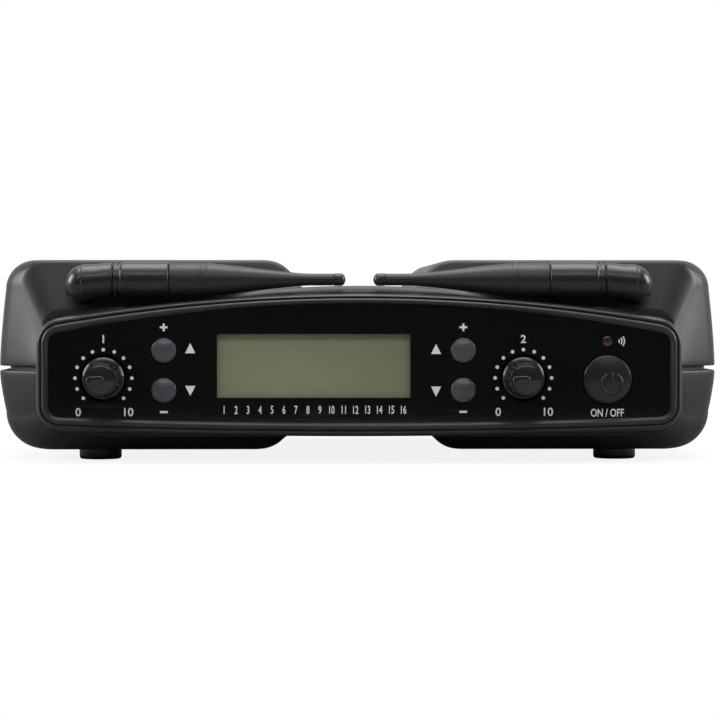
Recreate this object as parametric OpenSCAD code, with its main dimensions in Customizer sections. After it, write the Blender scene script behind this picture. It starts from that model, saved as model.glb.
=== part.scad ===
// Half-width wireless microphone receiver: two-part housing, arched front
// panel with its controls, two swivelling front antennas and rear sockets.
// +X is to the right seen from the front, the front faces -Y, +Z is up.

/* [Housing] */
// Overall width of the housing
body_w = 210; // [200:1:230]
// Rear edge of the housing, from the middle of the footprint
rear_y = 80; // [76:1:84]
// Height of the top of the side lobes above the table
lobe_top = 58.8; // [58:0.2:62]
// Height of the underside of the side lobes, which is the height of the feet
foot_h = 3; // [2:0.5:4]
// Height of the saddle between the lobes
saddle_z = 46; // [44:0.5:47]
// Height of the tunnel under the housing between the lobes
tunnel_z = 11; // [9:0.5:12]
// Thickness of the shell walls
wall = 3; // [2.5:0.1:3.2]
// Height of the lower lip of the seam groove
seam_z = 26.3; // [25:0.1:27]
// Height of the seam groove
seam_gap = 1.3; // [0.8:0.1:1.6]
// Radius of the upper outer corners of the lobes
top_corner_r = 8.5; // [8:0.1:9]
// Radius of the lower outer corners of the lobes
low_corner_r = 11; // [9:0.5:12]
// Radius of the inner shoulders of the lobes
shoulder_r = 11.5; // [11:0.5:13]
// Distance from the middle to where the inner shoulders start
shoulder_x = 28.5; // [26:0.5:32]
// Lean of the front slope from the vertical, in degrees
lean = 26; // [22:1:30]

/* [Bezel and panel] */
// Half the width of the bezel
bezel_hw = 92.6; // [91:0.1:93]
// Height of the top of the bezel at the middle
bezel_top = 48.6; // [48:0.1:49]
// Height of the bottom of the bezel at the middle
bezel_bottom = 7.7; // [7.5:0.1:8]
// Front plane of the bezel
bezel_y = -71; // [-71.5:0.1:-70.8]
// Plane where the bezel meets the shells
joint_y = -62; // [-62.5:0.1:-61]
// Half the width of the panel
panel_hw = 88.9; // [88:0.1:89.2]
// Height of the top of the panel at the middle
panel_top = 45.8; // [45.5:0.1:46]
// Height of the bottom of the panel at the middle
panel_bottom = 11.7; // [11.5:0.1:12]
// Front plane of the panel
panel_y = -70; // [-70.3:0.1:-69.8]
// Thickness of the panel
panel_t = 2; // [1.5:0.1:2.2]

/* [Controls] */
// Middle of the row of controls
ctrl_x = -13.2; // [-14:0.1:-12]
// Distance from the middle of the row to each knob
knob_dx = 60; // [59:0.1:61]
// Height of the knobs
knob_z = 24.5; // [24:0.1:25]
// Radius of the base of a knob
knob_r = 6; // [5.5:0.1:6.2]
// Radius of the front face of a knob
knob_face_r = 4.95; // [4.6:0.05:5.4]
// Distance that a knob stands in front of the panel
knob_out = 14; // [12:0.5:14]
// Radius of a potentiometer shaft
shaft_r = 3; // [2.8:0.05:3.1]
// Distance from the middle of the row to each pair of buttons
button_dx = 42.8; // [42:0.1:43.5]
// Height of the upper buttons
button_hi = 32.4; // [32:0.1:33]
// Height of the lower buttons
button_lo = 21; // [20.5:0.1:21.5]
// Radius of a channel button
button_r = 3.55; // [3.3:0.05:3.8]
// Travel of a channel button
button_travel = 0.5; // [0.3:0.05:0.6]
// Place of the power button across the panel
power_x = 70.9; // [70:0.1:72]
// Height of the power button
power_z = 24.1; // [23.5:0.1:25]
// Radius of the power button
power_r = 6.9; // [6:0.1:7.1]
// Travel of the power button
power_travel = 2; // [1.5:0.1:2.2]
// Distance that the power button stands in front of the panel
power_out = 2.6; // [1.5:0.1:3.5]
// Height of the infrared window
ir_z = 35; // [34.8:0.1:35.5]
// Radius of the infrared window
ir_r = 1.4; // [1.2:0.1:1.6]

/* [Display] */
// Width of the display window
lcd_w = 55.2; // [50:0.1:56]
// Height of the display window
lcd_h = 18.2; // [16:0.1:19.5]
// Height of the middle of the display window
lcd_z = 27.95; // [27.5:0.05:28.5]
// Thickness of the display glass
lcd_t = 1.1; // [0.8:0.1:1.4]

/* [Antennas] */
// Distance from the middle to each antenna pivot
ant_x = 79.5; // [78:0.5:80]
// Height at which the pivot axis meets the slope
ant_z = 50.3; // [50.1:0.1:50.6]
// Radius of the pivot turret
turret_r = 5; // [4.7:0.1:5.2]
// Radius of the pivot shaft inside the housing
pivot_r = 3.5; // [3:0.1:4]
// Height of the antenna axis over the slope
arm_h = 5.4; // [5.4:0.1:5.8]
// Radius of the glossy barrel
barrel_r = 5; // [4.6:0.05:5]
// Radius of the sleeve where it leaves the barrel
sleeve_r = 4.8; // [4.4:0.05:4.9]
// Radius of the slim end of the antenna
whip_r = 1.7; // [1.4:0.05:2]
// Reach of an antenna from its pivot axis
ant_reach = 75.5; // [72:0.5:77]

/* [Feet and fasteners] */
// Radius of a foot
foot_r = 6.2; // [5.5:0.1:7]
// Distance from the middle to each foot
foot_x = 76; // [72:0.5:77]
// Place of the front feet from front to back
foot_front_y = -42; // [-44:0.5:-40]
// Place of the rear feet from front to back
foot_rear_y = 58; // [56:0.5:60]
// Radius of a screw shank
screw_r = 1.3; // [1.1:0.05:1.5]
// Radius of a screw head
head_r = 2.7; // [2.4:0.1:2.9]
// Height of a screw head
head_h = 1.5; // [1.2:0.1:1.8]

/* [Boards] */
// Thickness of the boards
board_t = 1.6; // [1.2:0.1:2]
// Underside of the main board
board_z = 18; // [17.5:0.1:18.4]
// Front face of the front board
front_board_y = -60; // [-60.4:0.1:-59.8]

/* [Rear sockets] */
// Distance from the middle to each balanced output
xlr_x = 60; // [54:0.5:66]
// Height of the rear sockets
socket_z = 31; // [31:0.1:32]
// Radius of the opening of a balanced output
xlr_r = 9.5; // [9:0.1:9.6]
// Radius of the opening of the jack
jack_r = 3.2; // [3.1:0.05:3.3]
// Radius of the opening of the DC inlet
dc_r = 2.9; // [2.8:0.05:3]
// Distance that the jack's thread stands out past the housing
jack_out = 4; // [3:0.5:5]

/* [Hidden] */
$fn = 48;
eps = 0.01;
half_w = body_w / 2;
// Clearances: a running fit, a fit between fixed pieces, and a gap round what moves
run_gap = 0.05;
fit_gap = 0.15;
move_gap = 0.3;
// Draft of the side walls, and the heights where the corner arcs start
draft = 1.8;
low_arc = [half_w - draft - low_corner_r, foot_h + low_corner_r];
top_arc = [half_w - draft - top_corner_r, lobe_top - top_corner_r];
shoulder_arc = [shoulder_x, lobe_top - shoulder_r];
shoulder_turn = 55;
keel_r = 12;
keel_turn = 45;
keel_arc = [shoulder_x + 2, foot_h + keel_r];
// Front taper: half width, top and bottom of the housing at the bezel
nose_hw = bezel_hw + 0.6;
nose_top = 44.2;
nose_bottom = 7.5;
nose_rise = 0.75;
// Cowl: the low hump that closes the top behind the bezel
cowl_top = bezel_top + 2.6;
cowl_round = 220;
cowl_back = joint_y + 16;
bezel_round = 550;
bezel_sag = 2200;
bezel_corner_top = 8;
bezel_corner_low = 7.5;
panel_round = 450;
panel_sag = 2150;
panel_corner = 3;
ledge = 2.5;
lcd_edge = 2;
frame_edge = 1.4;
light_edge = 0.6;
panel_back = panel_y + panel_t;
knob_base_y = panel_y + 1;
knob_len = knob_out + 1;
pointer_h = 0.4;
pointer_turn = 100;
hole_ring = 0.9;
flange_gap = 0.3;
flange_t = 0.8;
board_back = front_board_y + board_t;
board_top = board_z + board_t;
pot_depth = 6;
pot_w = 10.8;
ant_y = joint_y + (ant_z - nose_top) * tan(lean);
lead_r = 0.9;
lead_bulge = 0.2;
lead_bend = [-42, 41];
turret_in = 2.6;
boss_depth = 8;
boss_wall = 1.9;
clip_t = 1.5;
clip_r = pivot_r + 1.7;
arm_len = 8.9;
neck_len = 1.6;
barrel_len = 14.2;
barrel_s = arm_len + neck_len;
sleeve_s = barrel_s + barrel_len;
tip_len = 3.5;
tip_s = ant_reach - tip_len;
taper_s = 38.9;
post_x = half_w - 12;
post_front_y = -30;
post_rear_y = 50;
post_r = 4;
post_bore = 12;
tongue_t = 1.6;
tongue_up = 2;
tongue_back = 0.8;
well_h = 6;
foot_boss_r = 3.5;
foot_boss_h = 8;
board_w = body_w - 42;
board_front = -50;
board_len = 108;
standoff_x = board_w / 2 - 18;
standoff_r = 3.2;
standoff_front_y = -30;
standoff_rear_y = 45;
rear_t = 2.5;
rear_face = rear_y - 1;
rear_in = rear_face - rear_t;
lug_x = half_w - 9;
lug_half = 4;
lug_len = 14;
lug_hi = seam_z + 12;
lug_lo = seam_z - 8;
xlr_depth = 17;
xlr_flange = 24;
flange_out = 2;
pin_ring = 4.8;
pin_r = 1.2;
jack_body = 16;
jack_depth = 24;
jack_wall = 1.6;
nut_wall = 2;
nut_t = 2.2;
dc_wall = 2.5;
dc_depth = 10;
dc_pin_r = 1;
xlr_wall = 1.3;
jack_x = 20;
dc_x = -20;
can_in = 9;
can_out = standoff_x - 15;
can_w = can_out - can_in;
can_x = (can_in + can_out) / 2;
can_y = 6;
sink_y = 20;
can_len = 56;
can_h = 13;
can_wall = 0.5;
sink_w = 24;
sink_t = 3;
sink_h = 22;
fins = 6;
fin_t = 1.4;
fin_len = 8;
cap_r = 4.5;
cap_h = 15;
caps_at = [[2 - standoff_x, 30], [2 - standoff_x, 16], [-standoff_x - 9, 24], [standoff_x - 4, -8]];
ribbon_x = -10;
ribbon_w = 22;
ribbon_z = 28;
ribbon_bend = 14;
feet_at = [for (x = [-foot_x, foot_x], y = [foot_front_y, foot_rear_y]) [x, y]];
posts_at = [for (x = [-post_x, post_x], y = [post_front_y, post_rear_y]) [x, y]];
standoffs_at = [for (x = [-standoff_x, standoff_x], y = [standoff_front_y, standoff_rear_y]) [x, y]];
lugs_at = [for (x = [-lug_x, lug_x], z = [lug_lo, lug_hi]) [x, z]];
buttons_at = [for (x = [-button_dx, button_dx], z = [button_hi, button_lo]) [ctrl_x + x, z]];

// Points on an arc about c, from angle a to angle b
function arc(c, r, a, b, n) = [for (i = [0:n]) c + r * [cos(a + (b - a) * i / n), sin(a + (b - a) * i / n)]];
function flip(p) = [for (i = [len(p) - 1:-1:0]) [-p[i][0], p[i][1]]];

// Centre of a corner circle of radius c that touches a long arc of radius r over the middle
function corner(hw, zc, r, c, up) = [hw - c, zc + up * sqrt(pow(r - c, 2) - pow(hw - c, 2))];

// Outline with a long arched top, a nearly flat bottom and round corners
function arched(hw, top, rt, bottom, rb, ct, cb) =
  let (kt = corner(hw, top - rt, rt, ct, 1), kb = corner(hw, bottom + rb, rb, cb, -1))
  let (at = atan2(kt[1] - top + rt, kt[0]), ab = atan2(kb[1] - bottom - rb, kb[0]))
  let (half = concat(
    arc([0, bottom + rb], rb, -90, ab, 6),
    arc(kb, cb, ab, 0, 7),
    arc(kt, ct, 0, at, 7),
    arc([0, top - rt], rt, at, 90, 12)))
  concat(half, [for (p = flip(half)) if (abs(p[0]) > eps) p]);

function bezel_line(i) = arched(bezel_hw - i, bezel_top - i, bezel_round - i,
  bezel_bottom + i, bezel_sag - i, bezel_corner_top - i, bezel_corner_low - i);
function cowl_line(i) = arched(bezel_hw - i, cowl_top - i, cowl_round - i,
  bezel_bottom + i, bezel_sag - i, bezel_corner_top - i, bezel_corner_low - i);
function panel_line(i) = arched(panel_hw - i, panel_top - i, panel_round - i,
  panel_bottom + i, panel_sag - i, max(panel_corner - i, 0.4), max(panel_corner - i, 0.4));

// Right half of the housing's section, moved inward by i
function section_half(i) =
  let (keel = arc(keel_arc, keel_r - i, -90 - keel_turn, -90, 5))
  let (shoulder = arc(shoulder_arc, shoulder_r - i, 90, 90 + shoulder_turn, 6))
  let (last = shoulder[6], low = saddle_z - i, high = tunnel_z + i)
  concat(
    [[keel[0][0] - (high - keel[0][1]) / tan(keel_turn), high]],
    keel,
    arc(low_arc, low_corner_r - i, -90, 0, 9),
    [[half_w - i, seam_z], [half_w - i, seam_z + seam_gap]],
    arc(top_arc, top_corner_r - i, 0, 90, 8),
    shoulder,
    [[last[0] - (last[1] - low) / tan(shoulder_turn), low]]);

// Frame for pieces that face the front: children lie in X and Z, and grow forward from y
module facing(y) { translate([0, y, 0]) rotate([90, 0, 0]) children(); }
// The same for pieces that face the rear
module backing(y) { translate([0, y, 0]) mirror([0, 1, 0]) rotate([90, 0, 0]) children(); }
// Frame on the front slope: Z is the pivot axis, X runs along the stowed antenna
module on_slope(side) {
  mirror([side > 0 ? 1 : 0, 0, 0]) translate([-ant_x, ant_y, ant_z]) rotate([90 - lean, 0, 0]) children();
}
module along_arm(s) { translate([s, 0, arm_h]) rotate([0, 90, 0]) children(); }
module rod(p, q, r) {
  d = q - p;
  translate(p) rotate([0, acos(d[2] / norm(d)), atan2(d[1], d[0])]) cylinder(r = r, h = norm(d));
}
module tube(r_out, r_in, h) {
  difference() {
    cylinder(r = r_out, h = h);
    translate([0, 0, -1]) cylinder(r = r_in, h = h + 2);
  }
}
module block(w, d, h) { translate([-w / 2, -d / 2, 0]) cube([w, d, h]); }

// Solid form of the housing, moved inward by i, and left open at both ends by e
module form(i, e) {
  intersection() {
    facing(rear_y + e) linear_extrude(height = rear_y - joint_y + 2 * e)
      polygon(concat(section_half(i), flip(section_half(i))));
    translate([0, 0, -1]) linear_extrude(height = lobe_top + 2) plan(i, e);
    translate([-body_w, 0, 0]) rotate([90, 0, 90]) linear_extrude(height = 2 * body_w) side(i, e);
  }
  intersection() {
    facing(cowl_back - i) linear_extrude(height = cowl_back - i - joint_y + e) polygon(cowl_line(i));
    translate([-body_w, 0, 0]) rotate([90, 0, 90]) linear_extrude(height = 2 * body_w)
      polygon([[joint_y - e, 0], [cowl_back, 0], [cowl_back, saddle_z - i - 1],
        [joint_y + 2, cowl_top - i], [joint_y - e, cowl_top - i]]);
  }
}
module plan(i, e) {
  cut = i * sqrt(2);
  nose = nose_hw - cut - e;
  knee = joint_y + half_w - i - nose_hw + cut;
  polygon([[-nose, joint_y - e], [nose, joint_y - e], [half_w - i, knee], [half_w - i, rear_y + e],
    [-half_w + i, rear_y + e], [-half_w + i, knee]]);
}
module side(i, e) {
  top = nose_top - i / sin(lean);
  low = nose_bottom + i * sqrt(1 + pow(nose_rise, 2));
  knee_top = joint_y + (lobe_top - i - top) * tan(lean);
  knee_low = joint_y + (low - foot_h - i) / nose_rise;
  polygon([[joint_y - e, low + e * nose_rise], [knee_low, foot_h + i], [rear_y + e, foot_h + i],
    [rear_y + e, lobe_top - i], [knee_top, lobe_top - i], [joint_y - e, top - e / tan(lean)]]);
}
module slab(z0, z1) { translate([-body_w, -body_w, z0]) cube([2 * body_w, 2 * body_w, z1 - z0]); }
module front_opening() {
  facing(joint_y + 5) linear_extrude(height = 6) polygon(bezel_line(wall));
}
module shell_wall() {
  difference() {
    form(0, 0);
    form(wall, 1);
    front_opening();
  }
}

module upper_shell() {
  color([0.13, 0.13, 0.14]) difference() {
    union() {
      intersection() {
        shell_wall();
        slab(seam_z + seam_gap, lobe_top + 1);
      }
      for (side = [-1, 1]) on_slope(side) translate([0, 0, -boss_depth])
        cylinder(r = turret_r + boss_wall, h = boss_depth - wall + 0.5);
      for (p = posts_at) translate([p[0], p[1], seam_z])
        cylinder(r = post_r - 0.5, h = lobe_top - wall / 2 - seam_z);
      for (p = lugs_at) if (p[1] == lug_hi) lug(p);
    }
    for (side = [-1, 1]) on_slope(side) {
      translate([0, 0, -wall]) cylinder(r = turret_r + move_gap, h = 2 * wall);
      translate([0, 0, -boss_depth - 1]) cylinder(r = pivot_r + run_gap, h = boss_depth);
      translate([0, 0, -boss_depth - clip_t - 1]) cylinder(r = clip_r + move_gap, h = clip_t + 1);
    }
    for (p = posts_at) translate([p[0], p[1], seam_z - 1]) cylinder(r = screw_r + run_gap, h = post_bore + 1);
    for (p = lugs_at) if (p[1] == lug_hi) lug_bore(p);
  }
}
module lug(p) {
  reach = half_w - draft - wall / 3 - lug_x + lug_half;
  translate([p[0] > 0 ? p[0] - lug_half : p[0] + lug_half - reach, rear_in - lug_len, p[1] - lug_half])
    cube([reach, lug_len, 2 * lug_half]);
}
module lug_bore(p) {
  translate([p[0], 0, p[1]]) facing(rear_in + 1) cylinder(r = screw_r + run_gap, h = 12);
}

module lower_shell() {
  color([0.11, 0.11, 0.12]) difference() {
    union() {
      intersection() {
        shell_wall();
        slab(0, seam_z);
      }
      // Tongue that the upper shell fits over: it is the floor of the seam groove
      for (t = [[wall - 0.5, seam_z - 4, seam_z],
                [wall + run_gap, seam_z - eps, seam_z + seam_gap + tongue_up]])
        intersection() {
          difference() {
            form(t[0], 0);
            form(wall + tongue_t, 1);
            front_opening();
          }
          slab(t[1], t[2]);
          translate([-body_w, joint_y + tongue_back, 0])
            cube([2 * body_w, rear_in - fit_gap - joint_y - tongue_back, lobe_top]);
        }
      for (p = posts_at) translate([p[0], p[1], foot_h + wall / 2])
        cylinder(r = post_r, h = seam_z - foot_h - wall / 2);
      for (p = standoffs_at) translate([p[0], p[1], foot_h + wall / 2])
        cylinder(r = standoff_r, h = board_z - foot_h - wall / 2);
      for (p = feet_at) translate([p[0], p[1], foot_h]) cylinder(r = foot_boss_r, h = foot_boss_h);
      for (p = lugs_at) if (p[1] == lug_lo) lug(p);
    }
    for (p = posts_at) translate([p[0], p[1], 0]) {
      cylinder(r = screw_r + 0.3, h = seam_z + 1);
      cylinder(r = head_r + 0.3, h = foot_h + well_h);
    }
    for (p = standoffs_at) translate([p[0], p[1], board_z - 8]) cylinder(r = screw_r + run_gap, h = 9);
    for (p = feet_at) translate([p[0], p[1], 0])
      cylinder(r = screw_r + run_gap, h = foot_h + foot_boss_h - wall / 2);
    for (p = lugs_at) if (p[1] == lug_lo) lug_bore(p);
  }
}

module front_bezel() {
  color([0.12, 0.12, 0.13]) difference() {
    union() {
      hull() {
        facing(joint_y) linear_extrude(height = 4) polygon(bezel_line(0));
        facing(bezel_y + 2) linear_extrude(height = 1) polygon(bezel_line(0.9));
        facing(bezel_y + 0.5) linear_extrude(height = 0.5) polygon(bezel_line(2.4));
      }
      facing(front_board_y) linear_extrude(height = joint_y - front_board_y + 4.5)
        polygon(bezel_line(wall + fit_gap));
    }
    facing(panel_back) linear_extrude(height = 10) polygon(panel_line(-fit_gap));
    facing(front_board_y + 1) linear_extrude(height = 20) polygon(panel_line(ledge));
  }
}

module front_panel() {
  color([0.02, 0.02, 0.03]) difference() {
    facing(panel_back) linear_extrude(height = panel_t) polygon(panel_line(0));
    facing(panel_back + 1) {
      for (side = [-1, 1]) translate([ctrl_x + side * knob_dx, knob_z, 0])
        cylinder(r = knob_r + hole_ring, h = panel_t + 2);
      for (p = buttons_at) translate([p[0], p[1], 0]) cylinder(r = button_r + move_gap, h = panel_t + 2);
      translate([power_x, power_z, 0]) cylinder(r = power_r + move_gap, h = panel_t + 2);
      translate([power_x, ir_z, 0]) cylinder(r = ir_r + run_gap, h = panel_t + 2);
      translate([ctrl_x - lcd_w / 2, lcd_z - lcd_h / 2, 0]) cube([lcd_w, lcd_h, panel_t + 2]);
    }
  }
}

module rear_panel() {
  color([0.14, 0.14, 0.15]) difference() {
    intersection() {
      form(wall + fit_gap, 1);
      translate([-body_w, rear_in, 0]) cube([2 * body_w, rear_t, 2 * lobe_top]);
    }
    backing(rear_in - 1) {
      for (side = [-1, 1]) translate([side * xlr_x, socket_z, 0])
        cylinder(r = xlr_r + xlr_wall + fit_gap, h = rear_t + 2);
      translate([jack_x, socket_z, 0]) cylinder(r = jack_r + jack_wall + fit_gap, h = rear_t + 2);
      translate([dc_x, socket_z, 0]) cylinder(r = dc_r + dc_wall + fit_gap, h = rear_t + 2);
      for (p = lugs_at) translate([p[0], p[1], 0]) cylinder(r = screw_r + 0.2, h = rear_t + 2);
    }
  }
}
module rear_panel_screws() {
  color([0.6, 0.6, 0.62]) for (p = lugs_at) translate([p[0], 0, p[1]]) {
    backing(rear_face) cylinder(r = head_r, h = head_h);
    backing(rear_in - 9) cylinder(r = screw_r, h = rear_t + 9 + eps);
  }
}

module rubber_feet() {
  color([0.03, 0.03, 0.03]) for (p = feet_at) translate([p[0], p[1], 0]) rotate_extrude()
    polygon([[screw_r + 0.2, head_h + 0.5], [head_r + 0.3, head_h + 0.5], [head_r + 0.3, 0],
      [foot_r - 0.8, 0], [foot_r - 0.2, 0.25], [foot_r, 0.9], [foot_r, foot_h], [screw_r + 0.2, foot_h]]);
}
module foot_screws() {
  color([0.6, 0.6, 0.62]) for (p = feet_at) translate([p[0], p[1], 0]) {
    translate([0, 0, 0.5]) cylinder(r = head_r, h = head_h);
    translate([0, 0, 1]) cylinder(r = screw_r, h = foot_h + 5);
  }
}
module shell_screws() {
  color([0.6, 0.6, 0.62]) for (p = posts_at) translate([p[0], p[1], 0]) {
    translate([0, 0, foot_h + well_h - head_h]) cylinder(r = head_r, h = head_h);
    translate([0, 0, foot_h + well_h - 1])
      cylinder(r = screw_r, h = seam_z - foot_h - well_h + post_bore - 1);
  }
}

module knob_at(side) { translate([ctrl_x + side * knob_dx, 0, knob_z]) children(); }
module volume_knob(side) {
  face = knob_len - pointer_h;
  color([0.03, 0.03, 0.03]) knob_at(side) facing(knob_base_y) {
    rotate_extrude() polygon([[shaft_r + 0.02, 0], [knob_r, 0], [knob_r, 2.2], [knob_r - 0.4, 2.8],
      [knob_face_r, face - 0.6], [knob_face_r - 0.5, face], [0, face], [0, 8.6], [shaft_r + 0.02, 8.6]]);
    rotate(pointer_turn) translate([-0.5, 0, face - eps]) cube([1, knob_face_r - 0.4, pointer_h + eps]);
  }
}
module pot_shaft(side) {
  color([0.7, 0.7, 0.72]) knob_at(side) facing(front_board_y - 0.7) cylinder(r = shaft_r, h = knob_len);
}
module pot_body(side) {
  color([0.5, 0.5, 0.52]) knob_at(side) difference() {
    union() {
      facing(front_board_y) translate([-pot_w / 2, -pot_w / 2, 0]) cube([pot_w, pot_w, pot_depth]);
      facing(front_board_y - pot_depth + eps)
        cylinder(r = shaft_r + 1, h = front_board_y - knob_base_y - pot_depth - move_gap);
    }
    facing(front_board_y - 0.5) cylinder(r = shaft_r + run_gap, h = 20);
  }
}

module button_cap(p) {
  front = 1.2;
  color([0.2, 0.2, 0.21]) translate([p[0], 0, p[1]]) facing(panel_back + flange_gap + flange_t)
    rotate_extrude() polygon([[0, 0], [button_r + 1, 0], [button_r + 1, flange_t], [button_r, flange_t],
      [button_r, flange_t + flange_gap + panel_t + front - 0.4],
      [button_r - 0.5, flange_t + flange_gap + panel_t + front - 0.1],
      [button_r - 1.6, flange_t + flange_gap + panel_t + front],
      [0, flange_t + flange_gap + panel_t + front]]);
}
module tact_switches() {
  top = -front_board_y + panel_back + flange_gap + flange_t + button_travel + move_gap;
  color([0.25, 0.25, 0.27]) for (p = buttons_at) translate([p[0], 0, p[1]]) facing(front_board_y) {
    translate([-3, -3, 0]) cube([6, 6, 3.4]);
    cylinder(r = 1.7, h = -top);
  }
}
module power_button() {
  out = power_out;
  depth = flange_t + flange_gap + panel_t;
  color([0.16, 0.16, 0.17]) translate([power_x, 0, power_z]) facing(panel_back + flange_gap + flange_t)
    rotate_extrude() polygon([[0, 0], [power_r + 0.9, 0], [power_r + 0.9, flange_t], [power_r, flange_t],
      [power_r, depth + out - 0.7], [power_r - 0.6, depth + out - 0.1], [power_r - 1.4, depth + out],
      [power_r - 2.4, depth + out - 0.2], [0, depth + out - 0.35]]);
}
module power_plunger() {
  back = panel_back + flange_gap + flange_t;
  color([0.8, 0.8, 0.78]) translate([power_x, 0, power_z]) facing(front_board_y - power_travel - 0.6)
    cylinder(r = 1.5, h = front_board_y - power_travel - 0.6 - back);
}
module power_switch() {
  color([0.25, 0.25, 0.27]) translate([power_x, 0, power_z]) difference() {
    facing(front_board_y) translate([-4.25, -4.25, 0]) cube([8.5, 8.5, power_travel + 2]);
    facing(front_board_y - 0.4) cylinder(r = 1.5 + 2 * run_gap, h = 10);
  }
}
module ir_window() {
  color([0.25, 0.1, 0.08]) translate([power_x, 0, ir_z]) facing(panel_back + 1) {
    cylinder(r = ir_r, h = panel_t + 1.15);
    cylinder(r = ir_r + 0.3, h = 1);
  }
}
module ir_receiver() {
  color([0.08, 0.06, 0.06]) translate([power_x, 0, ir_z]) facing(front_board_y) {
    translate([-2.2, -1.2, 0]) cube([4.4, 2.6, 3]);
    cylinder(r = 1.1, h = front_board_y - panel_back - 1.3);
  }
}

// A plate over the display window, larger than it by edge all round
module plate(edge, t) {
  translate([-lcd_w / 2 - edge, -lcd_h / 2 - edge, 0]) cube([lcd_w + 2 * edge, lcd_h + 2 * edge, t]);
}
module display_glass() {
  color([0.42, 0.44, 0.34]) translate([ctrl_x, 0, lcd_z]) facing(panel_back + lcd_t)
    plate(lcd_edge, lcd_t);
}
module display_frame() {
  depth = front_board_y - panel_back;
  color([0.85, 0.85, 0.82]) translate([ctrl_x, 0, lcd_z]) difference() {
    facing(front_board_y) plate(lcd_edge + frame_edge, depth);
    facing(panel_back + lcd_t) plate(lcd_edge + fit_gap, lcd_t + 1);
    facing(front_board_y + 1) plate(light_edge + fit_gap, depth + 2);
  }
}
module backlight() {
  color([0.9, 0.92, 0.85]) translate([ctrl_x, 0, lcd_z]) facing(front_board_y)
    plate(light_edge, front_board_y - panel_back - lcd_t);
}

module front_board() {
  color([0.05, 0.3, 0.12]) facing(board_back) linear_extrude(height = board_t) polygon(bezel_line(wall + 1));
}
module main_board() {
  color([0.05, 0.3, 0.12]) difference() {
    translate([-board_w / 2, board_front, board_z]) cube([board_w, board_len, board_t]);
    for (p = standoffs_at) translate([p[0], p[1], board_z - 1]) cylinder(r = screw_r + 0.2, h = board_t + 2);
  }
}
module board_screws() {
  color([0.6, 0.6, 0.62]) for (p = standoffs_at) translate([p[0], p[1], 0]) {
    translate([0, 0, board_top]) cylinder(r = head_r, h = head_h);
    translate([0, 0, board_z - 7]) cylinder(r = screw_r, h = board_t + 7 + eps);
  }
}
module ribbon_cable() {
  fold = front_board_y + ribbon_bend;
  color([0.7, 0.7, 0.7]) translate([ribbon_x, 0, 0]) rotate([90, 0, 90]) linear_extrude(height = ribbon_w)
    polygon([[board_back, ribbon_z + 1], [board_back, ribbon_z], [fold, ribbon_z], [fold, board_top],
      [fold + 1, board_top], [fold + 1, ribbon_z + 1]]);
}
module receiver_can(side) {
  color([0.75, 0.75, 0.76]) translate([side * can_x, can_y, board_top]) difference() {
    block(can_w, can_len, can_h);
    translate([0, 0, -can_wall]) block(can_w - 2 * can_wall, can_len - 2 * can_wall, can_h);
  }
}
module regulator_heatsink() {
  pitch = (sink_w - fin_t) / (fins - 1);
  color([0.3, 0.3, 0.32]) translate([standoff_x, sink_y, board_top]) {
    block(sink_w, sink_t, sink_h);
    for (i = [0:fins - 1]) translate([(fin_t - sink_w) / 2 + i * pitch, (sink_t + fin_len) / 2 - 0.5, 0])
      block(fin_t, fin_len, sink_h);
  }
}
module capacitors() {
  color([0.1, 0.1, 0.25]) for (p = caps_at) translate([p[0], p[1], board_top]) cylinder(r = cap_r, h = cap_h);
}

module antenna_elbow(side) {
  color([0.03, 0.03, 0.03]) on_slope(side) {
    translate([0, 0, -turret_in]) cylinder(r = turret_r, h = turret_in + arm_h);
    translate([0, 0, arm_h]) sphere(r = turret_r);
    along_arm(0) cylinder(r = barrel_r - 0.1, h = arm_len);
    along_arm(0) cylinder(r = barrel_r - 0.8, h = arm_len + neck_len);
    translate([0, 0, -boss_depth - 2.5]) cylinder(r = pivot_r, h = boss_depth);
  }
}
module antenna_barrel(side) {
  color([0.03, 0.03, 0.03]) on_slope(side) along_arm(barrel_s) rotate_extrude()
    polygon([[0, 0], [barrel_r - 0.5, 0], [barrel_r, 0.6], [barrel_r, barrel_len], [0, barrel_len]]);
}
module antenna_sleeve(side) {
  len = tip_s - sleeve_s;
  color([0.1, 0.1, 0.1]) on_slope(side) along_arm(sleeve_s) rotate_extrude()
    polygon([[0, 0], [sleeve_r, 0], [sleeve_r, taper_s - sleeve_s - 3], [sleeve_r - 0.5, taper_s - sleeve_s],
      [sleeve_r * 0.63, taper_s - sleeve_s + 11.5], [whip_r + 0.1, taper_s - sleeve_s + 22.6],
      [whip_r, taper_s - sleeve_s + 26], [whip_r, len], [0, len]]);
}
module antenna_tip(side) {
  color([0.05, 0.05, 0.05]) on_slope(side) along_arm(tip_s) rotate_extrude()
    polygon([[0, 0], [whip_r + 0.1, 0], [whip_r + 0.1, tip_len - 1.2], [whip_r - 0.3, tip_len - 0.4],
      [whip_r - 1, tip_len], [0, tip_len]]);
}
module antenna_clip(side) {
  color([0.7, 0.7, 0.72]) on_slope(side) translate([0, 0, -boss_depth - clip_t - move_gap])
    tube(clip_r, pivot_r + 0.02, clip_t);
}
module coax_lead(side) {
  depth = boss_depth + 2.8;
  p = [side * ant_x, ant_y + depth * cos(lean), ant_z - depth * sin(lean)];
  q = [side * (board_w / 2 - 5), lead_bend[0], lead_bend[1]];
  color([0.15, 0.15, 0.15]) {
    rod(p, q, lead_r);
    translate(q) sphere(r = lead_r + lead_bulge);
    rod([q[0], q[1], board_top], q, lead_r);
  }
}

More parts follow.
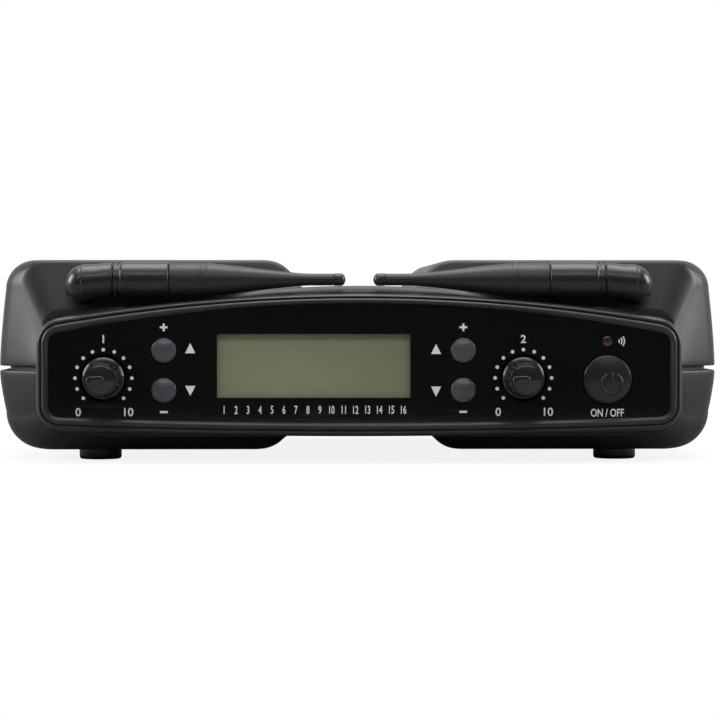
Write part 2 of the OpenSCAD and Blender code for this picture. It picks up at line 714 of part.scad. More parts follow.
module xlr_output(side) {
  color([0.1, 0.1, 0.1]) translate([side * xlr_x, 0, socket_z]) difference() {
    union() {
      backing(rear_face) translate([-xlr_flange / 2, -xlr_flange / 2, 0])
        cube([xlr_flange, xlr_flange, flange_out]);
      backing(rear_face - xlr_depth) cylinder(r = xlr_r + xlr_wall, h = xlr_depth + 1);
    }
    backing(rear_face + flange_out - xlr_depth) cylinder(r = xlr_r, h = xlr_depth + 1);
  }
}
module xlr_pins(side) {
  color([0.8, 0.8, 0.8]) translate([side * xlr_x, 0, socket_z]) backing(rear_face + flange_out - xlr_depth)
    for (a = [30, 150, 270]) rotate(a) translate([pin_ring, 0, 0]) cylinder(r = pin_r, h = xlr_depth - 3);
}
module mix_jack() {
  color([0.1, 0.1, 0.1]) translate([jack_x, 0, socket_z]) difference() {
    union() {
      backing(rear_in - jack_depth) translate([-jack_body / 2, -jack_body / 2, 0])
        cube([jack_body, jack_body, jack_depth]);
      backing(rear_in - 1) cylinder(r = jack_r + jack_wall, h = rear_y + jack_out - rear_in + 1);
    }
    backing(rear_in - jack_depth + 2) cylinder(r = jack_r, h = jack_depth + rear_t + jack_out + 5);
  }
}
module jack_nut() {
  color([0.75, 0.75, 0.76]) translate([jack_x, 0, socket_z]) backing(rear_face)
    tube(jack_r + jack_wall + nut_wall, jack_r + jack_wall + 0.02, nut_t);
}
module dc_inlet() {
  color([0.08, 0.08, 0.08]) translate([dc_x, 0, socket_z]) difference() {
    union() {
      backing(rear_face) cylinder(r = dc_r + dc_wall + 1.5, h = 1.5);
      backing(rear_in - dc_depth) cylinder(r = dc_r + dc_wall, h = rear_t + dc_depth + eps);
    }
    backing(rear_in - dc_depth + 2) cylinder(r = dc_r, h = 2 * dc_depth);
  }
}
module dc_pin() {
  color([0.8, 0.8, 0.8]) translate([dc_x, 0, socket_z]) backing(rear_in - dc_depth + 2)
    cylinder(r = dc_pin_r, h = dc_depth - 1);
}

upper_shell();
lower_shell();
front_bezel();
front_panel();
rear_panel();
rubber_feet();
foot_screws();
shell_screws();
rear_panel_screws();
volume_knob(-1);  // volume_knob_a
volume_knob(1);  // volume_knob_b
pot_shaft(-1);  // pot_shaft_a
pot_shaft(1);  // pot_shaft_b
pot_body(-1);  // pot_body_a
pot_body(1);  // pot_body_b
button_cap(buttons_at[0]);  // button_a_upper
button_cap(buttons_at[1]);  // button_a_lower
button_cap(buttons_at[2]);  // button_b_upper
button_cap(buttons_at[3]);  // button_b_lower
tact_switches();
power_button();
power_plunger();
power_switch();
ir_window();
ir_receiver();
display_glass();
display_frame();
backlight();
front_board();
main_board();
board_screws();
ribbon_cable();
receiver_can(-1);  // receiver_can_a
receiver_can(1);  // receiver_can_b
regulator_heatsink();
capacitors();
antenna_elbow(-1);  // antenna_elbow_left
antenna_elbow(1);  // antenna_elbow_right
antenna_barrel(-1);  // antenna_barrel_left
antenna_barrel(1);  // antenna_barrel_right
antenna_sleeve(-1);  // antenna_sleeve_left
antenna_sleeve(1);  // antenna_sleeve_right
antenna_tip(-1);  // antenna_tip_left
antenna_tip(1);  // antenna_tip_right
antenna_clip(-1);  // antenna_clip_left
antenna_clip(1);  // antenna_clip_right
coax_lead(-1);  // coax_lead_left
coax_lead(1);  // coax_lead_right
xlr_output(-1);  // xlr_output_a
xlr_output(1);  // xlr_output_b
xlr_pins(-1);  // xlr_pins_a
xlr_pins(1);  // xlr_pins_b
mix_jack();
jack_nut();
dc_inlet();
dc_pin();
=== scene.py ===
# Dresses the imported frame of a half-width wireless receiver.
from math import acos, atan2, cos, degrees, hypot, pi, radians, sin, sqrt, tan
import bpy
import numpy as np
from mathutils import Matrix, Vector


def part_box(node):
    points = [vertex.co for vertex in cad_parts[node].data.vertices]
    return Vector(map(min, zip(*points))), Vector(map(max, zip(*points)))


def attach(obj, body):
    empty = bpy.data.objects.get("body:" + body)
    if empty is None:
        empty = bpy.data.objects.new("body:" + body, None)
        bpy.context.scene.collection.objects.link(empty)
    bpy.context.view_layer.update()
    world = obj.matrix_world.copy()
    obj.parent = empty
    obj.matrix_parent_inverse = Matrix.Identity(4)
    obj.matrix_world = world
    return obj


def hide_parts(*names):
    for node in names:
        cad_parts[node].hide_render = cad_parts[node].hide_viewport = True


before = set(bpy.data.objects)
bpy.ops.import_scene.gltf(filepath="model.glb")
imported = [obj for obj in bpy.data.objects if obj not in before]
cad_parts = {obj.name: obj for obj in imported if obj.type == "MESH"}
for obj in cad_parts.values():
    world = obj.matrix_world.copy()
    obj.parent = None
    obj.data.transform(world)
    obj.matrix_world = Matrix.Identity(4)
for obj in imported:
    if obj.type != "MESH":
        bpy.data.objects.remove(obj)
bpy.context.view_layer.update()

mm = 0.001
print("frame loaded")


def arcPoints(centre, radius, start, stop, count):
    # Points at centre + radius * (cos a, sin a), with a stepping evenly from start to stop in degrees.
    angle = np.radians(np.linspace(start, stop, count))
    return np.stack([centre[0] + radius * np.cos(angle), centre[1] + radius * np.sin(angle)], axis=1)


def circle(count):
    # Even angles round a full turn, in radians.
    return np.linspace(0, 2 * pi, count, endpoint=False)


def softMin(a, b, width):
    # The lower of two fields, rounded where they cross: min(a, b) less a parabola as wide as width.
    blend = np.clip(1 - np.abs(a - b) / width, 0, 1)
    return np.minimum(a, b) - blend ** 2 * width / 4


def softMax(a, b, width):
    # The upper of two fields, rounded where they cross.
    return -softMin(-a, -b, width)


def gridFaces(rows, columns, closed):
    # Quads between neighbouring rows of points, joined end to end along each row where closed.
    across = np.arange(columns if closed else columns - 1)
    down = np.arange(rows - 1)[:, None] * columns
    right = (across + 1) % columns
    quads = [down + across, down + right, down + columns + right, down + columns + across]
    return np.stack(quads, axis=2).reshape(-1, 4)


def tubeFaces(rows, around):
    # Quads of a closed tube and a cap at each end.
    caps = [list(range(around)), list(range((rows - 1) * around, rows * around))]
    return gridFaces(rows, around, True).tolist() + caps


def linkObject(name, data):
    item = bpy.data.objects.new(name, data)
    bpy.context.scene.collection.objects.link(item)
    return item


def makePiece(name, points, faces, body, slotName, material, smooth=True):
    # A mesh in metres from points in millimetres, riding on a body of the frame.
    mesh = bpy.data.meshes.new(name)
    mesh.from_pydata((np.asarray(points).reshape(-1, 3) * mm).tolist(), [], [list(face) for face in faces])
    mesh.polygons.foreach_set("use_smooth", np.full(len(mesh.polygons), smooth))
    mesh.materials.append(material)
    piece = linkObject(name, mesh)
    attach(piece, body)
    return piece


def pickOnly(piece):
    bpy.context.view_layer.objects.active = piece
    bpy.ops.object.select_all(action="DESELECT")
    piece.select_set(True)


def turnOut(piece):
    # Merges doubled points and makes every face point outwards.
    pickOnly(piece)
    bpy.ops.object.mode_set(mode="EDIT")
    bpy.ops.mesh.select_all(action="SELECT")
    bpy.ops.mesh.remove_doubles(threshold=0.000001)
    bpy.ops.mesh.normals_make_consistent(inside=False)
    bpy.ops.object.mode_set(mode="OBJECT")


def shadeByAngle(piece, crease):
    # Smooth shading with a crease wherever two faces meet at more than the angle.
    pickOnly(piece)
    bpy.ops.object.shade_smooth_by_angle(angle=radians(crease))


def loftRings(name, rings, body, slotName, material, crease=35, looped=False):
    # Closed rings joined in order, and either looped back on themselves or capped at both ends.
    rings = np.asarray(rings, float)
    count, around = rings.shape[:2]
    if looped:
        rings = np.concatenate([rings, rings[:1]])
    faces = gridFaces(count + 1, around, True) if looped else tubeFaces(count, around)
    piece = makePiece(name, rings, faces, body, slotName, material)
    turnOut(piece)
    shadeByAngle(piece, crease)
    return piece


def axisFrame(axis):
    # Two unit vectors square to an axis and to each other.
    axis = np.asarray(axis, float) / np.linalg.norm(axis)
    helper = np.array([0.0, 0.0, 1.0]) if abs(axis[2]) < 0.9 else np.array([1.0, 0.0, 0.0])
    first = np.cross(helper, axis)
    first /= np.linalg.norm(first)
    return axis, first, np.cross(axis, first)


def turnedRings(profile, origin, axis, around=64):
    # A profile of (radius, height) turned about an axis:
    # origin + height * axis + radius * direction(angle).
    profile = np.asarray(profile, float)
    axis, first, second = axisFrame(axis)
    angle = circle(around)
    direction = np.cos(angle)[:, None] * first + np.sin(angle)[:, None] * second
    return (np.asarray(origin, float) + profile[:, 1, None, None] * axis
            + profile[:, 0, None, None] * direction[None])


def turnedPiece(name, profile, origin, axis, body, slotName, material, around=64, crease=35):
    rings = turnedRings(profile, origin, axis, around)
    return loftRings(name, rings, body, slotName, material, crease)


def addNode(tree, kind, **values):
    node = tree.nodes.new(kind)
    for key, value in values.items():
        if key in node.inputs:
            node.inputs[key].default_value = value
        else:
            setattr(node, key, value)
    return node


def wire(tree, *links):
    # Joins (node, output) to (node, input) for each link.
    for source, output, target, socket in links:
        tree.links.new(source.outputs[output], target.inputs[socket])


def addRange(tree, source, output, span, result, **values):
    # A value carried from the span on to the result.
    node = addNode(tree, "ShaderNodeMapRange", **values)
    for key, value in zip(("From Min", "From Max", "To Min", "To Max"), (*span, *result)):
        node.inputs[key].default_value = value
    wire(tree, (source, output, node, "Value"))
    return node


def addMath(tree, operation, first, firstOutput, second, secondOutput):
    node = addNode(tree, "ShaderNodeMath", operation=operation)
    wire(tree, (first, firstOutput, node, 0), (second, secondOutput, node, 1))
    return node


def newMaterial(name):
    material = bpy.data.materials.new(name)
    material.use_nodes = True
    return material, material.node_tree, material.node_tree.nodes["Principled BSDF"]


def finish(name, colour, roughness, grain=900, depth=0.02, variation=0.08, spread=0.06,
           coat=0.0, coatRoughness=0.05, metallic=0.0, specular=0.5, cloud=28, scratches=0.0):
    # A moulded or metal surface: fine grain as bump, cloudy changes of colour and of gloss,
    # and, where scratches is over nothing, thin handling marks in the gloss.
    material, tree, shader = newMaterial(name)
    for key, value in (("Metallic", metallic), ("Specular IOR Level", specular),
                       ("Coat Weight", coat), ("Coat Roughness", coatRoughness)):
        shader.inputs[key].default_value = value
    place = addNode(tree, "ShaderNodeTexCoord")
    clouds = addNode(tree, "ShaderNodeTexNoise", Scale=cloud, Detail=4.0, Roughness=0.6)
    tone = addRange(tree, clouds, "Fac", (0.3, 0.7), (0.0, 1.0))
    mix = addNode(tree, "ShaderNodeMix", data_type="RGBA")
    mix.inputs["A"].default_value = (*(c * (1 - variation) for c in colour), 1)
    mix.inputs["B"].default_value = (*(min(1.0, c * (1 + variation)) for c in colour), 1)
    wear = addNode(tree, "ShaderNodeTexNoise", Scale=cloud * 4.3, Detail=6.0, Roughness=0.7)
    gloss = addRange(tree, wear, "Fac", (0.25, 0.75),
                     (max(0.02, roughness - spread), roughness + spread))
    wire(tree, (place, "Object", clouds, "Vector"), (place, "Object", wear, "Vector"),
         (tone, "Result", mix, "Factor"), (mix, "Result", shader, "Base Color"),
         (gloss, "Result", shader, "Roughness"))
    if scratches > 0:
        stretch = addNode(tree, "ShaderNodeMapping", Scale=(40, 900, 700), Rotation=(0.2, 0.5, 0.35))
        lines = addNode(tree, "ShaderNodeTexNoise", Scale=1.0, Detail=2.0)
        pick = addRange(tree, lines, "Fac", (0.66, 0.74), (0.0, scratches))
        rough = addMath(tree, "ADD", gloss, "Result", pick, "Result")
        wire(tree, (place, "Object", stretch, "Vector"), (stretch, "Vector", lines, "Vector"),
             (rough, "Value", shader, "Roughness"))
    if depth > 0:
        grains = addNode(tree, "ShaderNodeTexNoise", Scale=grain, Detail=3.0, Roughness=0.55)
        bump = addNode(tree, "ShaderNodeBump", Strength=min(1.0, depth * 10),
                       Distance=depth * mm)
        wire(tree, (place, "Object", grains, "Vector"), (grains, "Fac", bump, "Height"),
             (bump, "Normal", shader, "Normal"))
    return material


def lcdFilmWithPaintedShade(name, colour):
    # A reflective liquid crystal face: olive film under clear glass, with painted shade that darkens it a
    # little toward the right and a painted shadow along the top.
    material = finish(name, colour, 0.42, 2600, 0.004, variation=0.03,
                      spread=0.03, coat=0.35, coatRoughness=0.03, cloud=60)
    tree = material.node_tree
    shader = tree.nodes["Principled BSDF"]
    film = shader.inputs["Base Color"].links[0].from_node
    split = addNode(tree, "ShaderNodeSeparateXYZ")
    # Painted shade: the film darkens a little toward the right.
    side = addRange(tree, split, "X", (-0.030, 0.016), (1.0, 0.86))
    # Painted shadow: the film darkens along the top, as if shaded by the window's upper edge.
    top = addRange(tree, split, "Z", (0.0345, 0.0376), (1.0, 0.74))
    # The painted shade and painted shadow together scale the film's colour.
    paintedShade = addMath(tree, "MULTIPLY", side, "Result", top, "Result")
    shade = addNode(tree, "ShaderNodeVectorMath", operation="SCALE")
    wire(tree, (tree.nodes["Texture Coordinate"], "Object", split, "Vector"),
         (film, "Result", shade, 0), (paintedShade, "Value", shade, "Scale"),
         (shade, "Vector", shader, "Base Color"))
    return material


shellFinish = finish("shellTexturedPlastic", (0.0120, 0.0108, 0.0142), 0.38, 1500, 0.03,
                     variation=0.10, specular=0.42)
bezelFinish = finish("bezelSatinPlastic", (0.026, 0.024, 0.029), 0.34, 1700, 0.008, spread=0.04)
panelFinish = finish("panelAcrylic", (0.0062, 0.0056, 0.0064), 0.07, 90, 0.002,
                     spread=0.02, coat=0.6, coatRoughness=0.02, scratches=0.10)
rearFinish = finish("rearPowderCoat", (0.028, 0.028, 0.030), 0.5, 1100, 0.04)
rubberFinish = finish("footRubber", (0.010, 0.010, 0.010), 0.26, 700, 0.01)
screwFinish = finish("screwZinc", (0.42, 0.42, 0.43), 0.34, 1800, 0.01, metallic=1.0)
knobFinish = finish("knobGloss", (0.016, 0.016, 0.018), 0.2, 500, 0.002,
                    spread=0.04, coat=0.3, scratches=0.08)
keyFinish = finish("keySatin", (0.066, 0.065, 0.075), 0.30, 1900, 0.008)
powerFinish = finish("powerKeySatin", (0.016, 0.016, 0.018), 0.28, 1900, 0.006)
darkFinish = finish("switchPlastic", (0.02, 0.02, 0.021), 0.5, 1300, 0.02)
paleFinish = finish("framePlastic", (0.72, 0.72, 0.68), 0.5, 1300, 0.01)
irFinish = finish("infraredWindow", (0.048, 0.021, 0.016), 0.12, 800, 0.001, coat=0.5)
glassFinish = lcdFilmWithPaintedShade("displayFace", (0.282, 0.294, 0.176))
boardFinish = finish("solderMask", (0.012, 0.10, 0.035), 0.3, 420, 0.03, variation=0.3)
ribbonFinish = finish("ribbonInsulation", (0.42, 0.42, 0.42), 0.45, 500, 0.02)
canFinish = finish("tinnedCan", (0.62, 0.61, 0.58), 0.32, 600, 0.02, metallic=1.0)
sinkFinish = finish("anodisedSink", (0.05, 0.05, 0.052), 0.42, 1500, 0.02, metallic=0.7)
capacitorFinish = finish("capacitorSleeve", (0.015, 0.018, 0.07), 0.28, 700, 0.01)
elbowFinish = finish("antennaGloss", (0.015, 0.014, 0.017), 0.31, 600, 0.003,
                     spread=0.03, coat=0.06, coatRoughness=0.2, scratches=0.06)
sleeveFinish = finish("antennaRubber", (0.018, 0.017, 0.020), 0.44, 1400, 0.02)
capFinish = finish("antennaCap", (0.016, 0.016, 0.017), 0.34, 1400, 0.01)
leadFinish = finish("leadSleeve", (0.014, 0.014, 0.014), 0.4, 900, 0.01)
socketFinish = finish("socketPlastic", (0.016, 0.016, 0.017), 0.38, 1500, 0.02)
pinFinish = finish("brightTin", (0.72, 0.71, 0.68), 0.2, 1500, 0.004, metallic=1.0)
nutFinish = finish("nickelNut", (0.62, 0.61, 0.60), 0.22, 1500, 0.006, metallic=1.0)
printFinish = finish("whitePrint", (0.84, 0.84, 0.84), 0.4, 2200, 0.006, variation=0.03)

nodeFinishes = (
    (panelFinish, "front_panel"), (rearFinish, "rear_panel"), (glassFinish, "display_glass"),
    (screwFinish, "foot_screws shell_screws board_screws antenna_clip_left antenna_clip_right"),
    (pinFinish, "pot_shaft_a pot_shaft_b xlr_pins_a xlr_pins_b dc_pin"),
    (darkFinish, "pot_body_a pot_body_b tact_switches power_switch ir_receiver"),
    (paleFinish, "power_plunger display_frame backlight"), (boardFinish, "front_board main_board"),
    (ribbonFinish, "ribbon_cable"), (canFinish, "receiver_can_a receiver_can_b"),
    (sinkFinish, "regulator_heatsink"), (capacitorFinish, "capacitors"),
    (leadFinish, "coax_lead_left coax_lead_right"),
    (socketFinish, "xlr_output_a xlr_output_b mix_jack dc_inlet"))
for nodeFinish, nodeNames in nodeFinishes:
    for nodeName in nodeNames.split():
        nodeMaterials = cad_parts[nodeName].data.materials
        nodeMaterials.clear()
        nodeMaterials.append(nodeFinish)
shellLook = ("housing", "shell_plastic", shellFinish)
printLook = ("housing", "bezel_plastic", printFinish)
print("materials ready")

sides = ((-1, "Left"), (1, "Right"))
channels = ((-1, "A"), (1, "B"))
camera = {"place": (-17.1, -870.0, 46.8), "target": (0.03, -70.0, 29.65), "lens": 140.0, "sensor": 36.0}


def addCamera(camera):
    # A camera at place that looks at target, level with the horizon.
    data = bpy.data.cameras.new("camera")
    data.lens = camera["lens"]
    data.sensor_width = camera["sensor"]
    data.clip_start = 0.01
    seat = linkObject("camera", data)
    place = np.array(camera["place"]) * mm
    look = np.array(camera["target"]) * mm - place
    seat.location = place
    seat.rotation_euler = (atan2(look[2], hypot(look[0], look[1])) + pi / 2, 0,
                           atan2(look[1], look[0]) - pi / 2)
    bpy.context.scene.camera = seat


addCamera(camera)

upperLow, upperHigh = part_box("upper_shell")
lowerLow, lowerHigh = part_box("lower_shell")
housing = {
    "halfWidth": upperHigh.x / mm, "rear": upperHigh.y / mm, "front": upperLow.y / mm,
    "top": upperHigh.z / mm, "bottom": lowerLow.z / mm, "wall": 3.0,
    "seamLow": 26.3, "seamHigh": 27.6, "draft": 1.8, "saddle": 46.0, "tunnel": 11.0, "rearRound": 1.0,
    "topCorner": 8.5, "lowCorner": 11.0, "shoulderStart": 28.5, "shoulder": 11.5, "shoulderTurn": 55.0,
    "keelStart": 30.5, "keel": 12.0, "keelTurn": 45.0,
    "noseHalf": 93.2, "noseTop": 44.2, "noseBottom": 7.5, "noseRise": 0.75, "lean": 26.0,
    "cowlTop": 51.2, "cowlBottom": 7.9, "cowlRound": 220.0, "cowlBack": -46.0, "lip": 0.5, "edge": 1.0,
    "browStep": 2.2, "browSlope": 1.4, "backSlope": 0.42, "underSlope": 0.9}


def depthSteps(h):
    # Places from front to rear: close together over the taper and at the rear edge, wide apart between.
    return np.concatenate([np.linspace(h["front"], h["front"] + 16, 46),
                           np.linspace(h["front"] + 18, h["rear"] - 3, 34),
                           h["rear"] - h["rearRound"] + np.sin(np.linspace(0, pi / 2, 7))])


def insetHousing(h, inset):
    # The same housing moved inward by inset: sloped faces move by inset over the sine of their slope.
    moved = dict(h)
    for key in ("halfWidth", "top", "saddle", "cowlTop", "shoulder", "keel"):
        moved[key] -= inset
    for key in ("bottom", "tunnel", "cowlBottom"):
        moved[key] += inset
    moved["noseHalf"] = h["noseHalf"] - inset * sqrt(2)
    moved["noseTop"] = h["noseTop"] - inset / sin(radians(h["lean"]))
    moved["noseBottom"] = h["noseBottom"] + inset * hypot(1, h["noseRise"])
    if inset:
        moved["edge"] = 0
    return moved


def rearPull(h, y):
    # How far the rear edge is rounded in, as a quarter circle.
    behind = np.clip(y - (h["rear"] - h["rearRound"]), 0, 1)
    return h["edge"] * (1.0 - np.sqrt(1 - behind ** 2))


def widthAt(h, y):
    # Half the width from front to rear: the flank runs in at 45 degrees to the nose.
    flank = softMin(np.full_like(y, h["halfWidth"]), h["noseHalf"] + y - h["front"], 3.0)
    return flank - rearPull(h, y)


def topAt(h, y):
    # Ceiling of the top from front to rear: the front slope rises at the lean until it meets the top.
    slope = h["noseTop"] + (y - h["front"]) / tan(radians(h["lean"]))
    return softMin(np.full_like(y, h["top"]), slope, 1.4) - rearPull(h, y)


def bottomAt(h, y):
    # Lowest the underside may reach: the nose falls by its rise until it meets the bottom.
    slope = h["noseBottom"] - (y - h["front"]) * h["noseRise"]
    return softMax(np.full_like(y, h["bottom"]), slope, 1.6) + rearPull(h, y)


def arcThenLine(reach, radius, turn):
    # Fall of a rounded edge: an arc of the radius that turns through the angle,
    # then a straight line at its slope.
    turn = radians(turn)
    bend = radius * sin(turn)
    arc = radius - np.sqrt(radius ** 2 - np.clip(reach, 0, bend) ** 2)
    return arc + np.clip(reach - bend, 0, None) * tan(turn)


def upperHeight(h, x, y):
    # Height of the top: lobe, shoulder and saddle cut by the front slope,
    # with the cowl rising through them.
    x = np.abs(x)
    fall = arcThenLine(h["shoulderStart"] - x, h["shoulder"], h["shoulderTurn"])
    lobe = softMax(h["top"] - fall, np.full_like(x + y, h["saddle"]), 1.2)
    body = softMin(lobe - rearPull(h, y), topAt(h, y), 1.5)
    rise = h["cowlTop"] - x ** 2 / (2 * h["cowlRound"])
    front = softMin(rise, rise - h["browStep"] + (y - h["front"]) * h["browSlope"], 1.6)
    back = h["saddle"] + (h["cowlBack"] - y) * h["backSlope"]
    return softMax(body, softMin(front, back, 2.0), 1.0)


def lowerHeight(h, x, y):
    # Height of the underside: keel and tunnel, with the nose cut up at the front
    # and closed by the cowl.
    x = np.abs(x)
    fall = arcThenLine(h["keelStart"] - x, h["keel"], h["keelTurn"])
    keel = softMin(h["bottom"] + fall, np.full_like(x + y, h["tunnel"]), 2.0)
    body = softMax(keel + rearPull(h, y), bottomAt(h, y), 1.2)
    cowl = h["cowlBottom"] + softMax(np.zeros_like(y), (y - h["cowlBack"]) * h["underSlope"], 2.0)
    return softMin(body, cowl, 1.0)


def housingSkin(h, upper, inset):
    # One skin as a grid: columns run from one seam lip over the section to the other,
    # rows from front to rear.
    y = depthSteps(h)[:, None]
    h = insetHousing(h, inset)
    width = widthAt(h, y)
    seam = h["seamHigh"] if upper else h["seamLow"]
    into = 1 if upper else -1
    tight = np.clip((y - h["front"]) / 12, 0, 1)
    radius, least = (h["topCorner"], 0.8) if upper else (h["lowCorner"], 0.72)
    corner = radius * (least + (1 - least) * tight) - inset
    heightAt = upperHeight if upper else lowerHeight
    edgeX = width - h["draft"] - corner
    cornerZ = heightAt(h, edgeX, y) - into * corner
    lip = np.linspace(0, pi / 2, 5)
    pull = h["lip"] * (1 - np.sin(lip)) if inset == 0 else 0 * lip
    lipZ = seam + into * h["lip"] * (1 - np.cos(lip))
    columns = [(width - a, np.full_like(width, b)) for a, b in zip(pull, lipZ)]
    columns += [(width - h["draft"] * step ** 1.4, lipZ[-1] + (cornerZ - lipZ[-1]) * step)
                for step in np.linspace(0, 1, 14)[1:-1]]
    columns += [(edgeX + corner * cos(turn), cornerZ + into * corner * sin(turn))
                for turn in np.linspace(0, pi / 2, 18)]
    share = np.concatenate([np.linspace(1, 0.36, 20)[1:], np.linspace(0.355, 0.10, 34),
                            np.linspace(0.09, 0, 8)])
    columns += [(edgeX * part, heightAt(h, edgeX * part, y)) for part in share]
    halfX, halfZ = (np.concatenate(parts, axis=1) for parts in zip(*columns))
    x = np.concatenate([halfX, -halfX[:, -2::-1]], axis=1)
    z = np.concatenate([halfZ, halfZ[:, -2::-1]], axis=1)
    return np.stack([x, np.broadcast_to(y, x.shape), z], axis=2)


def housingHalf(h, upper):
    # Outer and inner skins, joined by a rim along the seam, the front and the rear.
    outer = housingSkin(h, upper, 0)
    inner = housingSkin(h, upper, h["wall"])
    rows, columns = outer.shape[:2]
    grid = gridFaces(rows, columns, False)
    index = np.arange(rows * columns).reshape(rows, columns)
    edge = np.concatenate([index[0, :-1], index[:-1, -1], index[-1, :0:-1], index[:0:-1, 0]])
    ahead = np.roll(edge, -1)
    rim = np.stack([edge, ahead, ahead + rows * columns, edge + rows * columns], axis=1)
    faces = np.concatenate([grid, grid[:, ::-1] + rows * columns, rim])
    return np.concatenate([outer.reshape(-1, 3), inner.reshape(-1, 3)]), faces


def applyModifiers(piece):
    # Bakes a piece's modifiers into its mesh.
    tree = bpy.context.evaluated_depsgraph_get()
    baked = bpy.data.meshes.new_from_object(piece.evaluated_get(tree))
    piece.modifiers.clear()
    piece.data = baked


def cutHoles(piece, cutters):
    # Cuts each turned cutter out of a piece, then removes the cutters.
    for number, rings in enumerate(cutters):
        mesh = bpy.data.meshes.new("cutter")
        mesh.from_pydata((rings.reshape(-1, 3) * mm).tolist(), [], tubeFaces(*rings.shape[:2]))
        cutter = linkObject("cutter", mesh)
        turnOut(cutter)
        cut = piece.modifiers.new("cut%d" % number, "BOOLEAN")
        cut.operation = "DIFFERENCE"
        cut.object = cutter
        applyModifiers(piece)
        bpy.data.objects.remove(cutter)


leanAngle = radians(housing["lean"])
slopeNormal = np.array([0, -cos(leanAngle), sin(leanAngle)])
slopeUp = np.array([0, sin(leanAngle), cos(leanAngle)])
pivot = {"x": 79.5, "z": 50.3, "hole": 5.3, "bore": 3.55, "depth": 3.0, "mouth": 0.7, "wall": 1.2,
         "floor": 1.4}
pivot["y"] = housing["front"] + (pivot["z"] - housing["noseTop"]) * tan(leanAngle)
screwWells = {"x": 93.0, "y": (-30.0, 50.0), "radius": 3.0, "bore": 1.6, "depth": 9.0, "mouth": 5.2,
              "wall": 1.0, "floor": 1.0}


def pivotPlace(side):
    return np.array([side * pivot["x"], pivot["y"], pivot["z"]])


def addHousing():
    shells = [makePiece(name, *housingHalf(housing, upper), *shellLook)
              for name, upper in (("upperShellSkin", True), ("lowerShellSkin", False))]
    for shell in shells:
        turnOut(shell)
    hole = [(pivot["hole"], -pivot["depth"] - 2), (pivot["hole"], 8)]
    cutHoles(shells[0], [turnedRings(hole, pivotPlace(side), slopeNormal, 72) for side in (-1, 1)])
    hole = [(screwWells["radius"], -2), (screwWells["radius"], screwWells["depth"])]
    cutHoles(shells[1], [turnedRings(hole, (side * screwWells["x"], y, 0), (0, 0, 1), 40)
                         for side in (-1, 1) for y in screwWells["y"]])
    for shell, node in zip(shells, ("upper_shell", "lower_shell")):
        shadeByAngle(shell, 32)
        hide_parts(node)


def addWell(name, w, radius, into, place, axis, around):
    # A cup with a holed floor behind a hole of the shell, going into it along the axis or against it.
    mouth, depth, under = into * w["mouth"], into * w["depth"], into * (w["depth"] + w["floor"])
    cup = [(radius + 0.01, mouth), (radius + 0.01, depth), (w["bore"], depth), (w["bore"], under),
           (radius + w["wall"], under), (radius + w["wall"], mouth + into * 0.05)]
    loftRings(name, turnedRings(cup, place, axis, around), *shellLook, looped=True)


def addWells():
    # One cup behind each antenna hole, and one round each shell screw.
    for side, name in sides:
        addWell("antennaWell" + name, pivot, pivot["hole"], -1, pivotPlace(side), slopeNormal, 64)
    for side, name in sides:
        for number, y in enumerate(screwWells["y"]):
            addWell("screwWell%s%d" % (name, number), screwWells, screwWells["radius"], 1,
                    (side * screwWells["x"], y, 0), (0, 0, 1), 40)


tongue = {"inset": 3.05, "thick": 1.5, "low": 23.0, "high": 29.4}


def addTongue():
    # The floor of the seam groove: a strip set in from the flank all along each side.
    h, t = housing, tongue
    y = np.concatenate([np.linspace(h["front"] + 1.2, h["front"] + 15, 24),
                        np.linspace(h["front"] + 18, h["rear"] - 4, 12)])
    outer = widthAt(h, y) - t["inset"]
    corners = ((0, t["low"]), (0, t["high"]), (t["thick"], t["high"]), (t["thick"], t["low"]))
    for side, name in sides:
        rings = np.stack([np.stack([side * (outer - inset), y, np.full_like(y, z)], axis=1)
                          for inset, z in corners], axis=1)
        loftRings("seamTongue" + name, rings, *shellLook, crease=30)


addHousing()
addWells()
addTongue()
print("housing made")

bezel = {
    "outer": (92.6, 48.6, 550.0, 7.7, 2200.0, 8.0, 7.5),
    "inner": (88.9, 45.8, 450.0, 11.7, 2150.0, 3.0, 3.0),
    "back": -62.0, "ledge": -68.0, "pastPanel": (2, 2, 2, -2, 2, 0, 0),
    "rim": [(0.0, -62.0), (0.0, -65.5), (0.004, -67.6)],
    "groove": [(0.33, -70.24), (0.38, -70.1), (0.42, -69.8), (0.445, -69.8), (0.48, -70.25)],
    "innerLip": [(0.90, -70.1), (0.975, -69.95), (1.0, -69.7)]}


def archedLine(halfWidth, top, topRound, bottom, bottomRound, cornerTop, cornerLow):
    # Outline in X and Z: a long arch on top, a nearly flat bottom, and corner arcs that touch both.
    def cornerCentre(middle, arch, corner, up):
        rise = sqrt((arch - corner) ** 2 - (halfWidth - corner) ** 2)
        return np.array([halfWidth - corner, middle + up * rise])
    upper = cornerCentre(top - topRound, topRound, cornerTop, 1)
    lower = cornerCentre(bottom + bottomRound, bottomRound, cornerLow, -1)
    upAngle = degrees(atan2(upper[1] - top + topRound, upper[0]))
    lowAngle = degrees(atan2(lower[1] - bottom - bottomRound, lower[0]))
    half = np.concatenate([
        arcPoints((0, bottom + bottomRound), bottomRound, -90, lowAngle, 24)[:-1],
        arcPoints(lower, cornerLow, lowAngle, 0, 16),
        np.stack([np.full(6, halfWidth), np.linspace(lower[1], upper[1], 8)[1:-1]], axis=1),
        arcPoints(upper, cornerTop, 0, upAngle, 16)[:-1],
        arcPoints((0, top - topRound), topRound, upAngle, 90, 30)])
    mirrored = half[-2:0:-1] * [-1, 1]
    return np.concatenate([half, mirrored])


